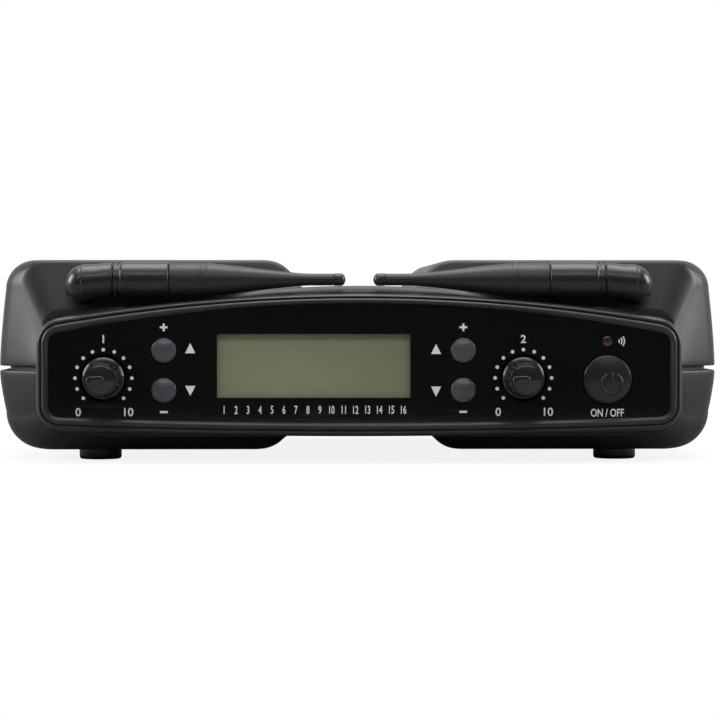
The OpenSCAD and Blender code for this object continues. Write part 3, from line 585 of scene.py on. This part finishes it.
def addBezel():
    # Each point of the profile gives a ring: the share of the way from the outer line
    # to the panel's line, at one depth. A share past 1 is the line behind the panel.
    outer = archedLine(*bezel["outer"])
    inner = archedLine(*bezel["inner"])
    behind = archedLine(*(np.array(bezel["inner"]) - bezel["pastPanel"]))
    shoulder = [(0.02 + 0.26 * (1 - cos(a)), -67.9 - 2.4 * sin(a))
                for a in np.linspace(0.1, 1.5, 12)]
    crest = [(0.69 - 0.22 * cos(a), -70.3 - 0.7 * sin(a)) for a in np.linspace(0.15, 2.9, 16)]
    inside = [(1.0, bezel["ledge"]), (1.55, bezel["ledge"]), (1.55, bezel["back"])]
    rings = []
    for share, y in bezel["rim"] + shoulder + bezel["groove"] + crest + bezel["innerLip"] + inside:
        line = behind if share > 1 else outer + (inner - outer) * share
        rings.append(np.stack([line[:, 0], np.full(len(line), y), line[:, 1]], axis=1))
    piece = loftRings("bezelRing", rings, "housing", "bezel_plastic", bezelFinish, crease=40,
                      looped=True)
    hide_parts("front_bezel")


addBezel()
print("bezel made")

controls = {"middle": -13.2, "knobStep": 60.0, "knobZ": 24.5, "keyStep": 42.8, "keyHigh": 32.4,
            "keyLow": 21.0, "powerX": 70.9, "powerZ": 24.1, "windowZ": 35.0, "panel": -70.0}
toward = (0, -1, 0)
knob = {"base": 6.0, "face": 4.75, "start": 1.0, "length": 14.0, "bore": 3.1, "bulge": 0.7,
        "pointerTurn": 100.0, "pointerSink": 0.95, "pointerRound": 0.95, "pointerMiddle": 1.5,
        "pointerSteps": ((1.0, 0.0), (1.0, 0.7), (0.93, 0.88), (0.80, 0.95))}
keyCap = {"radius": 3.55, "flange": 4.55, "back": 3.1, "out": 1.2, "rise": 1.0, "edge": 0.4}
powerKey = {"radius": 6.9, "flange": 7.8, "back": 3.1, "out": 2.6, "rise": 1.3, "edge": 0.6,
            "signX": 1.1, "signZ": -1.2, "signR": 2.95, "signWidth": 0.45, "signSink": 0.12,
            "signGap": 28.0, "barLow": -0.3, "barHigh": 3.3}
window = [(0.02, -3.0), (1.7, -3.0), (1.7, -2.0), (1.4, -2.0), (1.4, 0.05), (1.2, 0.16), (0.8, 0.24),
          (0.02, 0.28)]


def knobProfile(k):
    # From the rim at the panel up the tapered skirt to a face that bulges:
    # height = bulge * (1 - share of radius squared).
    base, face, top = k["base"], k["face"], k["length"] - 0.4
    skirt = [(base - 0.15, -k["start"]), (base, -k["start"] + 0.2), (base, 1.2), (base - 0.12, 1.45),
             (base - 0.42, 1.65)]
    skirt += [(base - 0.45 - (base - 0.45 - face) * s ** 0.85, 1.7 + (k["length"] - 2.6) * s)
              for s in np.linspace(0, 1, 8)[1:]]
    edge = [(face - 0.4 * (1 - cos(a)), top - 0.85 + 0.45 * sin(a))
            for a in np.linspace(0.2, pi / 2, 6)]
    groove = [(face - 0.5, top - 0.43), (face - 0.6, top - 0.56), (face - 0.7, top - 0.54)]
    crown = [((face - 0.75) * r, top - 0.5 + k["bulge"] * (1 - r * r)) for r in np.linspace(1, 0.005, 14)]
    return skirt + edge + groove + crown


def addKnob(name, x, body, node):
    k = knob
    place = (x, controls["panel"], controls["knobZ"])
    cap = turnedPiece(name + "Cap", [(k["bore"], -k["start"])] + knobProfile(k), place, toward, body,
                      "knob_gloss", knobFinish, 96)
    turn = radians(k["pointerTurn"])
    along = np.array([-sin(turn), 0, cos(turn)])
    across = np.array([cos(turn), 0, sin(turn)])
    base = np.array(place) + np.array(toward) * (k["length"] - k["pointerSink"])
    # Pointer: a wedge that widens toward the rim, as rings that step up and draw in.
    rim = [(1.35, k["face"] - 1.25), (1.05, k["face"] - 0.95), (0.0, k["face"] - 0.55),
           (-1.05, k["face"] - 0.95), (-1.35, k["face"] - 1.25)]
    outline = np.concatenate([arcPoints((0.0, 0.0), k["pointerRound"], 180, 360, 12), rim])
    middle = np.array([0.0, k["pointerMiddle"]])
    rings = []
    for shrink, lift in k["pointerSteps"]:
        line = middle + (outline - middle) * shrink
        rings.append(base + line[:, :1] * across + line[:, 1:] * along + lift * np.array(toward))
    loftRings(name + "Pointer", rings, body, "knob_gloss", knobFinish, crease=50)
    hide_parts(node)


def domeProfile(k):
    # Flange, straight wall, rounded edge and a shallow dome: height = out - rise * (r / radius) squared.
    radius, back, edge, rise = k["radius"], k["back"], k["edge"], k["rise"]
    brow = k["out"] - rise - edge
    wall = [(k["flange"], -back), (k["flange"], -back + 0.75), (radius, -back + 0.8), (radius, brow)]
    bend = [(radius - edge * (1 - cos(a)), brow + edge * sin(a))
            for a in np.linspace(0.25, 1.35, 6)]
    crown = [(r, k["out"] - rise * (r / radius) ** 2) for r in np.linspace(radius - edge, 0.02, 14)]
    return [(0.02, -back)] + wall + bend + crown


def addKeys():
    # Two keys beside each knob, one above the other.
    for side, channel in channels:
        for level, spot in (("Upper", "keyHigh"), ("Lower", "keyLow")):
            ending = "%s_%s" % (channel.lower(), level.lower())
            place = (controls["middle"] + side * controls["keyStep"], controls["panel"], controls[spot])
            cap = turnedPiece("key" + level + channel, domeProfile(keyCap), place, toward,
                              "key_" + ending, "button_satin", keyFinish, 64)
            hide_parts("button_" + ending)


def addPowerKey():
    k = powerKey
    place = np.array([controls["powerX"], controls["panel"], controls["powerZ"]])
    cap = turnedPiece("powerKeyCap", domeProfile(k), place, toward, "power_key", "button_satin",
                      powerFinish, 96)
    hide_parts("power_button")
    centreX, centreZ = place[0] + k["signX"], place[2] + k["signZ"]

    def onDome(x, z, lift):
        # Lifts a point onto the dome of the key.
        radius = np.hypot(x - place[0], z - place[2])
        return place[1] - (k["out"] - k["rise"] * (radius / k["radius"]) ** 2) - lift

    # Open ring and bar: a half-round ridge carried along an arc that leaves a gap at the top,
    # and along a straight line. Its half width draws in at both ends.
    turn = np.radians(np.linspace(90 + k["signGap"], 450 - k["signGap"], 60))[:, None]
    ridge = np.linspace(0, pi, 9)[None, :]
    bar = centreZ + np.linspace(k["barLow"], k["barHigh"], 24)[:, None]
    for name, pathX, pathZ, sideX, sideZ in (
            ("powerSignRing", centreX + k["signR"] * np.cos(turn), centreZ + k["signR"] * np.sin(turn),
             np.cos(turn), np.sin(turn)),
            ("powerSignBar", np.full((24, 1), centreX), bar, np.ones((24, 1)), np.zeros((24, 1)))):
        ends = np.clip(1 - np.linspace(-1, 1, len(pathX)) ** 24, 0.02, 1)
        halfWidth = k["signWidth"] * np.sqrt(ends)[:, None]
        x = pathX + sideX * halfWidth * np.cos(ridge)
        z = pathZ + sideZ * halfWidth * np.cos(ridge)
        y = onDome(x, z, np.sin(ridge) * halfWidth - k["signSink"])
        loftRings(name, np.stack([x, y, z], axis=2), "power_key", "button_satin", powerFinish,
                  crease=60)


def addWindow():
    place = (controls["powerX"], controls["panel"], controls["windowZ"])
    lens = turnedPiece("infraredLens", window, place, toward, "housing", "ir_plastic", irFinish, 40)
    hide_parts("ir_window")


for side, channel in channels:
    addKnob("volume" + channel, controls["middle"] + side * controls["knobStep"],
            "knob_" + channel.lower(), "volume_knob_" + channel.lower())
addKeys()
addPowerKey()
addWindow()
print("controls made")

marks = {"thick": 0.05, "lift": 0.005, "dotRadius": 0.52, "dialRadius": 8.1, "triangle": 2.9,
         "plusArm": 1.1, "plusHalf": 0.3, "beamX": 73.6, "beamReach": (0.7, 1.45, 2.2), "beamHalf": 0.17,
         "beamTurn": 38, "channelStart": 25.6, "channelStep": 3.42, "channelZ": 15.4}
markPlane = controls["panel"] - marks["lift"]


def addDots(name, x):
    # Thirteen discs round a dial, a sixteenth of a turn apart, from lower left over the top
    # to lower right.
    points, faces, around = [], [], 20
    reach = marks["dialRadius"]
    for step in range(13):
        angle = radians(-135 + 22.5 * step)
        centre = (x + reach * sin(angle), markPlane, controls["knobZ"] + reach * cos(angle))
        disc = [(marks["dotRadius"], 0), (marks["dotRadius"], marks["thick"])]
        start = step * 2 * around
        points.append(turnedRings(disc, centre, toward, around).reshape(-1, 3))
        faces += [[start + corner for corner in face] for face in tubeFaces(2, around)]
    piece = makePiece(name, np.concatenate(points), faces, *printLook, smooth=False)
    turnOut(piece)


def addPrism(name, corners):
    # A flat printed shape: its outline, and the same outline raised by the print's thickness.
    line = np.asarray(corners, float)
    back = np.stack([line[:, 0], np.full(len(line), markPlane), line[:, 1]], axis=1)
    front = back + np.array([0, -marks["thick"], 0])
    loftRings(name, [back, front], *printLook, crease=20)


def addNumber(name, text, x, z, size, y=markPlane, turned=1, heavy=0.018, squeeze=1.0):
    # Plain numerals as a mesh, centred on x and z. With turned at -1 they face the rear.
    curve = bpy.data.curves.new(name, "FONT")
    curve.body = text
    curve.size = size * 1.38 * mm
    curve.align_x = "CENTER"
    curve.align_y = "CENTER"
    curve.extrude = marks["thick"] / 2 * mm
    curve.offset = size * heavy * mm
    curve.resolution_u = 4
    text = linkObject(name + "Curve", curve)
    bpy.context.view_layer.update()
    mesh = bpy.data.meshes.new_from_object(text.evaluated_get(bpy.context.evaluated_depsgraph_get()))
    bpy.data.objects.remove(text)
    flat = np.zeros(len(mesh.vertices) * 3)
    mesh.vertices.foreach_get("co", flat)
    flat = flat.reshape(-1, 3)
    middle = (flat.max(axis=0) + flat.min(axis=0)) / 2
    placed = np.stack([turned * squeeze * (flat[:, 0] - middle[0]) + x * mm,
                       y * mm - turned * (flat[:, 2] + marks["thick"] / 2 * mm),
                       flat[:, 1] - middle[1] + z * mm], axis=1)
    mesh.vertices.foreach_set("co", placed.ravel())
    mesh.update()
    mesh.materials.clear()
    mesh.materials.append(printFinish)
    piece = linkObject(name, mesh)
    turnOut(piece)
    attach(piece, "housing")


def addMarks():
    middle, dialZ = controls["middle"], controls["knobZ"]
    half, arm, thin = marks["triangle"] / 2, marks["plusArm"], marks["plusHalf"]
    quarter = np.array([(-thin, -arm), (thin, -arm), (thin, -thin)])
    turns = ([[1, 0], [0, 1]], [[0, 1], [-1, 0]], [[-1, 0], [0, -1]], [[0, -1], [1, 0]])
    plus = np.concatenate([quarter @ np.array(turn) for turn in turns])
    minus = np.array([(-arm, -thin), (arm, -thin), (arm, thin), (-arm, thin)])
    for (side, name), title, shift, up, down in zip(channels, "12", (0.15, -0.4), (0.65, 0.4), (0.15, 0.4)):
        x = middle + side * controls["knobStep"]
        addDots("dialDots" + name, x)
        addNumber("dialTitle" + name, title, x, dialZ + 11.15, 2.3, heavy=0.03)
        addNumber("dialZero" + name, "0", x - 7.2, dialZ - 9.7, 2.4)
        addNumber("dialTen" + name, "10", x + 7.2, dialZ - 9.7, 2.4)
        keyX = middle + side * controls["keyStep"]
        tip = keyX - side * 7.4 + shift
        high, low = controls["keyHigh"] + up, controls["keyLow"] - down
        addPrism("arrowUp" + name, half * np.array([(-1, -1), (1, -1), (0, 1)]) + (tip, high))
        addPrism("arrowDown" + name, half * np.array([(-1, 1), (0, -1), (1, 1)]) + (tip, low))
        addPrism("markPlus" + name, plus + (keyX, controls["keyHigh"] + 6.6))
        addPrism("markMinus" + name, minus + (keyX, controls["keyLow"] - 6.2))
    addNumber("powerWords", "ON / OFF", controls["powerX"], controls["powerZ"] - 9.6, 2.3, squeeze=0.72)
    # Three short arcs beside the infrared window, each a step wider.
    centre, turn = (marks["beamX"], controls["windowZ"]), marks["beamTurn"]
    for step, reach in enumerate(marks["beamReach"]):
        outer = arcPoints(centre, reach + marks["beamHalf"], -turn, turn, 10)
        inner = arcPoints(centre, reach - marks["beamHalf"], turn, -turn, 10)
        addPrism("beamArc%d" % (step + 1), np.concatenate([outer, inner]))
    for step in range(16):
        x = middle - marks["channelStart"] + step * marks["channelStep"]
        addNumber("channel%02d" % (step + 1), str(step + 1), x, marks["channelZ"], 2.35, heavy=0.016,
                  squeeze=0.6)


addMarks()
print("marks made")

antenna = {"turret": 5.0, "turretIn": 2.6, "armHeight": 5.4, "barrel": 5.0, "sleeve": 4.8, "whip": 1.7,
           "elbowEnd": 8.2, "barrelStart": 9.8, "sleeveStart": 24.7, "rings": (33.4, 34.9),
           "taperStart": 36.0, "taperEnd": 62.8, "tipStart": 72.0, "end": 75.5, "tipRound": 1.4,
           "lean": 0.38, "sag": 0.11, "seen": 4.2,
           "pin": [(0.02, -10.5), (3.1, -10.5), (3.5, -10.1), (3.5, -2.0), (0.02, -2.0)]}


def slopePoints(local, side):
    # From antenna axes (along the arm, up the slope, out of the slope) to the frame.
    local = np.asarray(local, float)
    along = np.array([-side, 0, 0])
    return (pivotPlace(side) + local[..., :1] * along + local[..., 1:2] * slopeUp
            + local[..., 2:] * slopeNormal)


def insideReach(direction, origin, radius, axis, low, high):
    # Distance from origin along each direction to the wall of a closed cylinder
    # about an axis through the middle.
    d = np.delete(direction, axis, axis=-1)
    p = np.delete(origin, axis)
    a = (d ** 2).sum(-1) + 1e-12
    b = (d * p).sum(-1)
    c = (p ** 2).sum() - radius ** 2
    wall = (-b + np.sqrt(b ** 2 - a * c)) / a
    run = direction[..., axis]
    end = np.where(run > 0, (high - origin[axis]) / np.where(run > 1e-9, run, 1e-9),
                   (low - origin[axis]) / np.where(run < -1e-9, run, -1e-9))
    return np.minimum(wall, end)


def addElbow(side, name, body):
    # A surface seen from one inner point: in each direction it lies at the farthest of turret,
    # dome and arm, rounded where they cross.
    a = antenna
    centre = np.array([0.0, 0.0, a["seen"]])
    polar = np.linspace(0.01, pi - 0.01, 120)[:, None]
    around = circle(160)[None, :]
    direction = np.stack([np.cos(polar) + 0 * around, np.sin(polar) * np.cos(around),
                          np.sin(polar) * np.sin(around)], axis=-1)
    turret = insideReach(direction, centre, a["turret"], 2, -a["turretIn"], a["armHeight"])
    offset = centre - np.array([0, 0, a["armHeight"]])
    arm = insideReach(direction, offset, a["barrel"] - 0.1, 0, -0.2, a["elbowEnd"])
    b = (direction * offset).sum(-1)
    dome = -b + np.sqrt(b ** 2 - (offset ** 2).sum() + a["turret"] ** 2)
    reach = softMax(softMax(turret, dome, 0.3), arm, 0.9)
    points = centre + direction * reach[..., None]
    # The side away from the arm leans in toward the foot, x * (1 - lean * share of depth), and the
    # elbow sags toward its end, sag a millimetre before the barrel, fading out toward the slope.
    share = np.clip((a["armHeight"] - points[..., 2]) / a["armHeight"], 0, 1)
    points[..., 0] *= np.where(points[..., 0] < 0, 1 - a["lean"] * share, 1)
    points[..., 1] -= a["sag"] * np.clip(a["elbowEnd"] - points[..., 0], 0, 14) * (1 - share)
    loftRings("antennaElbow" + name, slopePoints(points, side), body, "antenna_gloss", elbowFinish, crease=50)


def armRings(profile, side, around=72):
    # A profile of (radius, distance along the arm) turned about the arm's axis.
    profile = np.asarray(profile, float)
    angle = circle(around)
    radius = profile[:, :1]
    local = np.stack([profile[:, 1:] + 0 * angle, radius * np.cos(angle),
                      antenna["armHeight"] + radius * np.sin(angle)], axis=-1)
    return slopePoints(local, side)


def bead(radius, start, length, depth, count=7):
    # A rounded ring: radius less depth times (1 - the sine of half a turn).
    turn = np.linspace(0, pi, count)
    return [(radius - depth * (1 - sin(t)), start + length * (1 - cos(t)) / 2) for t in turn]


def addAntenna(side, name):
    a = antenna
    body, node = "antenna_" + name.lower(), "antenna_%s_" + name.lower()
    addElbow(side, name, body)
    pin = turnedPiece("antennaPivot" + name, a["pin"], pivotPlace(side), slopeNormal, body,
                      "antenna_gloss", elbowFinish, 48)
    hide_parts(node % "elbow")
    start, b, end = a["barrelStart"], a["barrel"], a["sleeveStart"]
    first, tipStart = a["elbowEnd"], a["tipStart"]
    profile = [(0.02, first - 1.4), (4.0, first - 1.4)] + bead(4.8, first - 1.0, 1.3, 0.25)
    profile += [(4.35, first + 0.5)] + bead(4.8, first + 0.7, 1.3, 0.25)
    profile += [(4.5, start + 0.9), (b - 0.25, start + 1.2), (b - 0.05, start + 1.7), (b, start + 2.6),
                (b, end - 0.5), (b - 0.12, end - 0.15), (b - 0.35, end), (0.02, end)]
    barrel = loftRings("antennaBarrel" + name, armRings(profile, side), body, "antenna_gloss",
                       elbowFinish, crease=40)
    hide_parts(node % "barrel")
    # Sleeve: straight with two faint rings, then a long smooth taper to the slim whip.
    s, w, taper = a["sleeve"], a["whip"], a["taperEnd"] - a["taperStart"]
    sleeve = [(0.02, end), (s - 0.35, end), (s - 0.1, end + 0.2), (s, end + 0.5), (s, 33.0)]
    for ring in a["rings"]:
        sleeve += [(s, ring), (s - 0.16, ring + 0.25), (s - 0.16, ring + 0.55), (s, ring + 0.8)]
    for share in np.linspace(0, 1, 26):
        ease = share - 0.02 * sin(2 * pi * share)
        sleeve.append((s - 0.05 - (s - 0.05 - w - 0.12) * ease, a["taperStart"] + taper * share))
    sleeve += [(w + 0.02, a["taperEnd"] + 2.5), (w, tipStart - 0.1), (w - 0.3, tipStart),
               (0.02, tipStart)]
    skin = loftRings("antennaSleeve" + name, armRings(sleeve, side), body, "antenna_rubber",
                     sleeveFinish, crease=40)
    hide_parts(node % "sleeve")
    w, brow = w + 0.1, a["end"] - a["tipRound"]
    cap = [(0.02, tipStart), (w - 0.15, tipStart), (w, tipStart + 0.2), (w, brow)]
    cap += [(w * cos(t), brow + a["tipRound"] * sin(t)) for t in np.linspace(0.2, 1.5, 7)]
    tip = loftRings("antennaTip" + name, armRings(cap + [(0.02, a["end"])], side, 48), body,
                    "antenna_cap", capFinish, crease=50)
    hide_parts(node % "tip")


for side, sideName in sides:
    addAntenna(side, sideName)
print("antennas made")

feet = {"x": 76.0, "front": -42.0, "rear": 58.0, "radius": 6.2, "height": 3.0}


def addFeet():
    r, h = feet["radius"], feet["height"]
    profile = [(1.5, h), (r - 0.1, h), (r, h - 0.1), (r, 1.0)]
    profile += [(r - 0.8 * (1 - cos(t)), 0.85 - 0.85 * sin(t))
                for t in np.linspace(0.15, pi / 2, 7)]
    profile += [(3.3, 0.0), (3.05, 0.2), (3.0, 2.0), (1.5, 2.0)]
    for side, name in sides:
        for level in ("front", "rear"):
            rings = turnedRings(profile, (side * feet["x"], feet[level], 0), (0, 0, 1), 72)
            foot = loftRings("foot" + name + level.capitalize(), rings, "housing", "foot_rubber",
                             rubberFinish, looped=True)
            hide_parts("rubber_feet")


def addScrewHead(name, place, radius, height):
    # A domed head in polar rings that faces the rear, with a cross pressed into it:
    # height = dome - depth * nearness to either arm.
    axis, first, second = axisFrame((0, 1, 0))
    ring = np.concatenate([[0.03], np.linspace(0.06, 0.92, 20), [0.97, 1.0]])[:, None] * radius
    angle = circle(72)[None, :]
    u, v = ring * np.cos(angle), ring * np.sin(angle)
    dome = height * (1 - 0.30 * (ring / radius) ** 2) - np.where(ring > 0.93 * radius, 0.15, 0)
    arm = radius * 0.17
    press = (np.clip((arm - np.minimum(np.abs(u), np.abs(v))) / (0.35 * arm), 0, 1)
             * np.clip((radius * 0.62 - ring) / (radius * 0.1), 0, 1))
    flat = np.asarray(place, float) + u[..., None] * first + v[..., None] * second
    top = flat + (dome - 0.62 * height * press)[..., None] * axis
    loftRings(name, np.concatenate([top, flat[-1:]]), "housing", "screw_steel", screwFinish, crease=30)


rear = {"face": 79.0, "lugX": 96.0, "lugs": ((18.3, "Low"), (38.3, "High")), "socketX": 60,
        "socketZ": 31, "socketFace": 81.0, "socketCorner": 9.6, "nutX": 20, "nutBore": 4.83,
        "nutRadius": 6.75, "nutTurn": 12, "nutHigh": 2.2, "washer": 6.2}


def addRear():
    for side, name in sides:
        for z, level in rear["lugs"]:
            addScrewHead("rearScrew" + name + level, (side * rear["lugX"], rear["face"], z), 2.7, 1.5)
            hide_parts("rear_panel_screws")
    for (side, channel), title in zip(channels, "12"):
        x, z = side * rear["socketX"], rear["socketZ"]
        for corner in (-1, 1):
            shift = corner * rear["socketCorner"]
            place = (x + shift, rear["socketFace"], z - shift)
            addScrewHead("socketScrew%s%d" % (channel, corner + 1), place, 1.6, 0.8)
        addNumber("socketNumber" + channel, title, x, 48.0, 2.8, y=rear["face"] + marks["lift"], turned=-1)
    # Six-sided nut with a washer face, turned a little off square.
    angle = np.radians(np.arange(7) * 60 + rear["nutTurn"])
    flat = np.concatenate([np.linspace(a, b, 6, endpoint=False) for a, b in zip(angle, angle[1:])])
    sixth = (flat - angle[0]) % (pi / 3) - pi / 6
    hexagon = rear["nutRadius"] * cos(pi / 6) / np.cos(sixth)
    bore, high = rear["nutBore"], rear["nutHigh"]
    rings = []
    for radius, height in ((bore, 0.0), (hexagon * 0.97, 0.0), (hexagon, 0.12), (hexagon, 1.85),
                           (np.minimum(hexagon, rear["washer"]), high), (bore, high)):
        rings.append(np.stack([rear["nutX"] + radius * np.cos(flat), np.full(len(flat), rear["face"] + height),
                               rear["socketZ"] + radius * np.sin(flat)], axis=1))
    nut = loftRings("jackNutHex", rings, "housing", "nut_chrome", nutFinish, crease=25, looped=True)
    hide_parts("jack_nut")


addFeet()
addRear()
print("feet and rear made")


def mixShaders(tree, factor, output, first, firstOutput, second, secondOutput, target):
    # The second shader where the factor is 1, sent on to the target.
    mix = addNode(tree, "ShaderNodeMixShader")
    wire(tree, (factor, output, mix, "Fac"), (first, firstOutput, mix, 1), (second, secondOutput, mix, 2))
    if target:
        wire(tree, (mix, "Shader", target, "Surface"))
    return mix


def whiteWhenSeen(name, level, white, share):
    # A floor that the camera and glass see as white with a faint shadow, and that other rays
    # see as a plain grey.
    material, tree, shader = newMaterial(name)
    shader.inputs["Roughness"].default_value = 0.9
    shader.inputs["Specular IOR Level"].default_value = 0.1
    path = addNode(tree, "ShaderNodeLightPath")
    seen = addNode(tree, "ShaderNodeMix", data_type="RGBA")
    seen.inputs["A"].default_value = (level, level, level, 1)
    seen.inputs["B"].default_value = (white, white, white, 1)
    wire(tree, (path, "Is Camera Ray", seen, "Factor"), (seen, "Result", shader, "Base Color"))
    glow = addNode(tree, "ShaderNodeEmission", Strength=1.0)
    either = addMath(tree, "MAXIMUM", path, "Is Camera Ray", path, "Is Transmission Ray")
    part = addNode(tree, "ShaderNodeMath", operation="MULTIPLY")
    part.inputs[1].default_value = share
    wire(tree, (either, "Value", part, 0))
    mixShaders(tree, part, "Value", shader, "BSDF", glow, "Emission", tree.nodes["Material Output"])
    return material


def addWorld(level):
    # White where the camera sees it. Reflections see a dark room in front that brightens overhead
    # and behind: the larger of a smooth step of height and a smooth step of depth. As light it is
    # a plain grey level.
    world = bpy.data.worlds.new("studio")
    bpy.context.scene.world = world
    world.use_nodes = True
    tree = world.node_tree
    tree.nodes.clear()
    path = addNode(tree, "ShaderNodeLightPath")
    white = (1, 1, 1, 1)
    seen = addNode(tree, "ShaderNodeBackground", Strength=1.0, Color=white)
    light = addNode(tree, "ShaderNodeBackground", Strength=level, Color=white)
    glossy = addNode(tree, "ShaderNodeBackground", Strength=1.0)
    place = addNode(tree, "ShaderNodeTexCoord")
    way = addNode(tree, "ShaderNodeSeparateXYZ")
    height = addRange(tree, way, "Z", (0.6, 1.0), (0.02, 0.95), interpolation_type="SMOOTHSTEP")
    behind = addRange(tree, way, "Y", (0.05, 0.7), (0.0, 0.75), interpolation_type="SMOOTHSTEP")
    sky = addMath(tree, "MAXIMUM", height, "Result", behind, "Result")
    wire(tree, (place, "Generated", way, "Vector"), (sky, "Value", glossy, "Color"))
    either = addMath(tree, "MAXIMUM", path, "Is Glossy Ray", path, "Is Transmission Ray")
    lit = mixShaders(tree, either, "Value", light, "Background", glossy, "Background", None)
    mixShaders(tree, path, "Is Camera Ray", lit, "Shader", seen, "Background",
               addNode(tree, "ShaderNodeOutputWorld"))


def addLamp(name, place, aim, size, power):
    data = bpy.data.lights.new(name, "AREA")
    data.shape = "RECTANGLE"
    data.size, data.size_y = size
    data.energy = power
    lamp = linkObject(name, data)
    look = np.array(aim) - np.array(place)
    lamp.location = place
    lamp.rotation_euler = (acos(-look[2] / np.linalg.norm(look)), 0,
                           atan2(look[1], look[0]) - pi / 2)


floor = bpy.data.meshes.new("floor")
floor.from_pydata([(-4, -0.34, 0), (4, -0.34, 0), (4, 0.7, 0), (-4, 0.7, 0)], [], [(0, 1, 2, 3)])
floor.materials.append(whiteWhenSeen("paleFloor", 0.24, 0.9, 0.87))
linkObject("floor", floor)
addWorld(0.38)
addLamp("keyLeft", (-1.2, -0.05, 0.5), (0, 0, 0.03), (0.5, 0.7), 14)
addLamp("keyRight", (1.2, -0.05, 0.5), (0, 0, 0.03), (0.5, 0.7), 13)
addLamp("frontStrip", (0, -1.3, 1.1), (0, 0, 0.03), (1.8, 0.12), 5)
addLamp("topSoft", (0, 0.1, 1.2), (0, 0, 0), (1.2, 0.9), 14)
bpy.context.scene.view_settings.view_transform = "Standard"
print("stage ready")
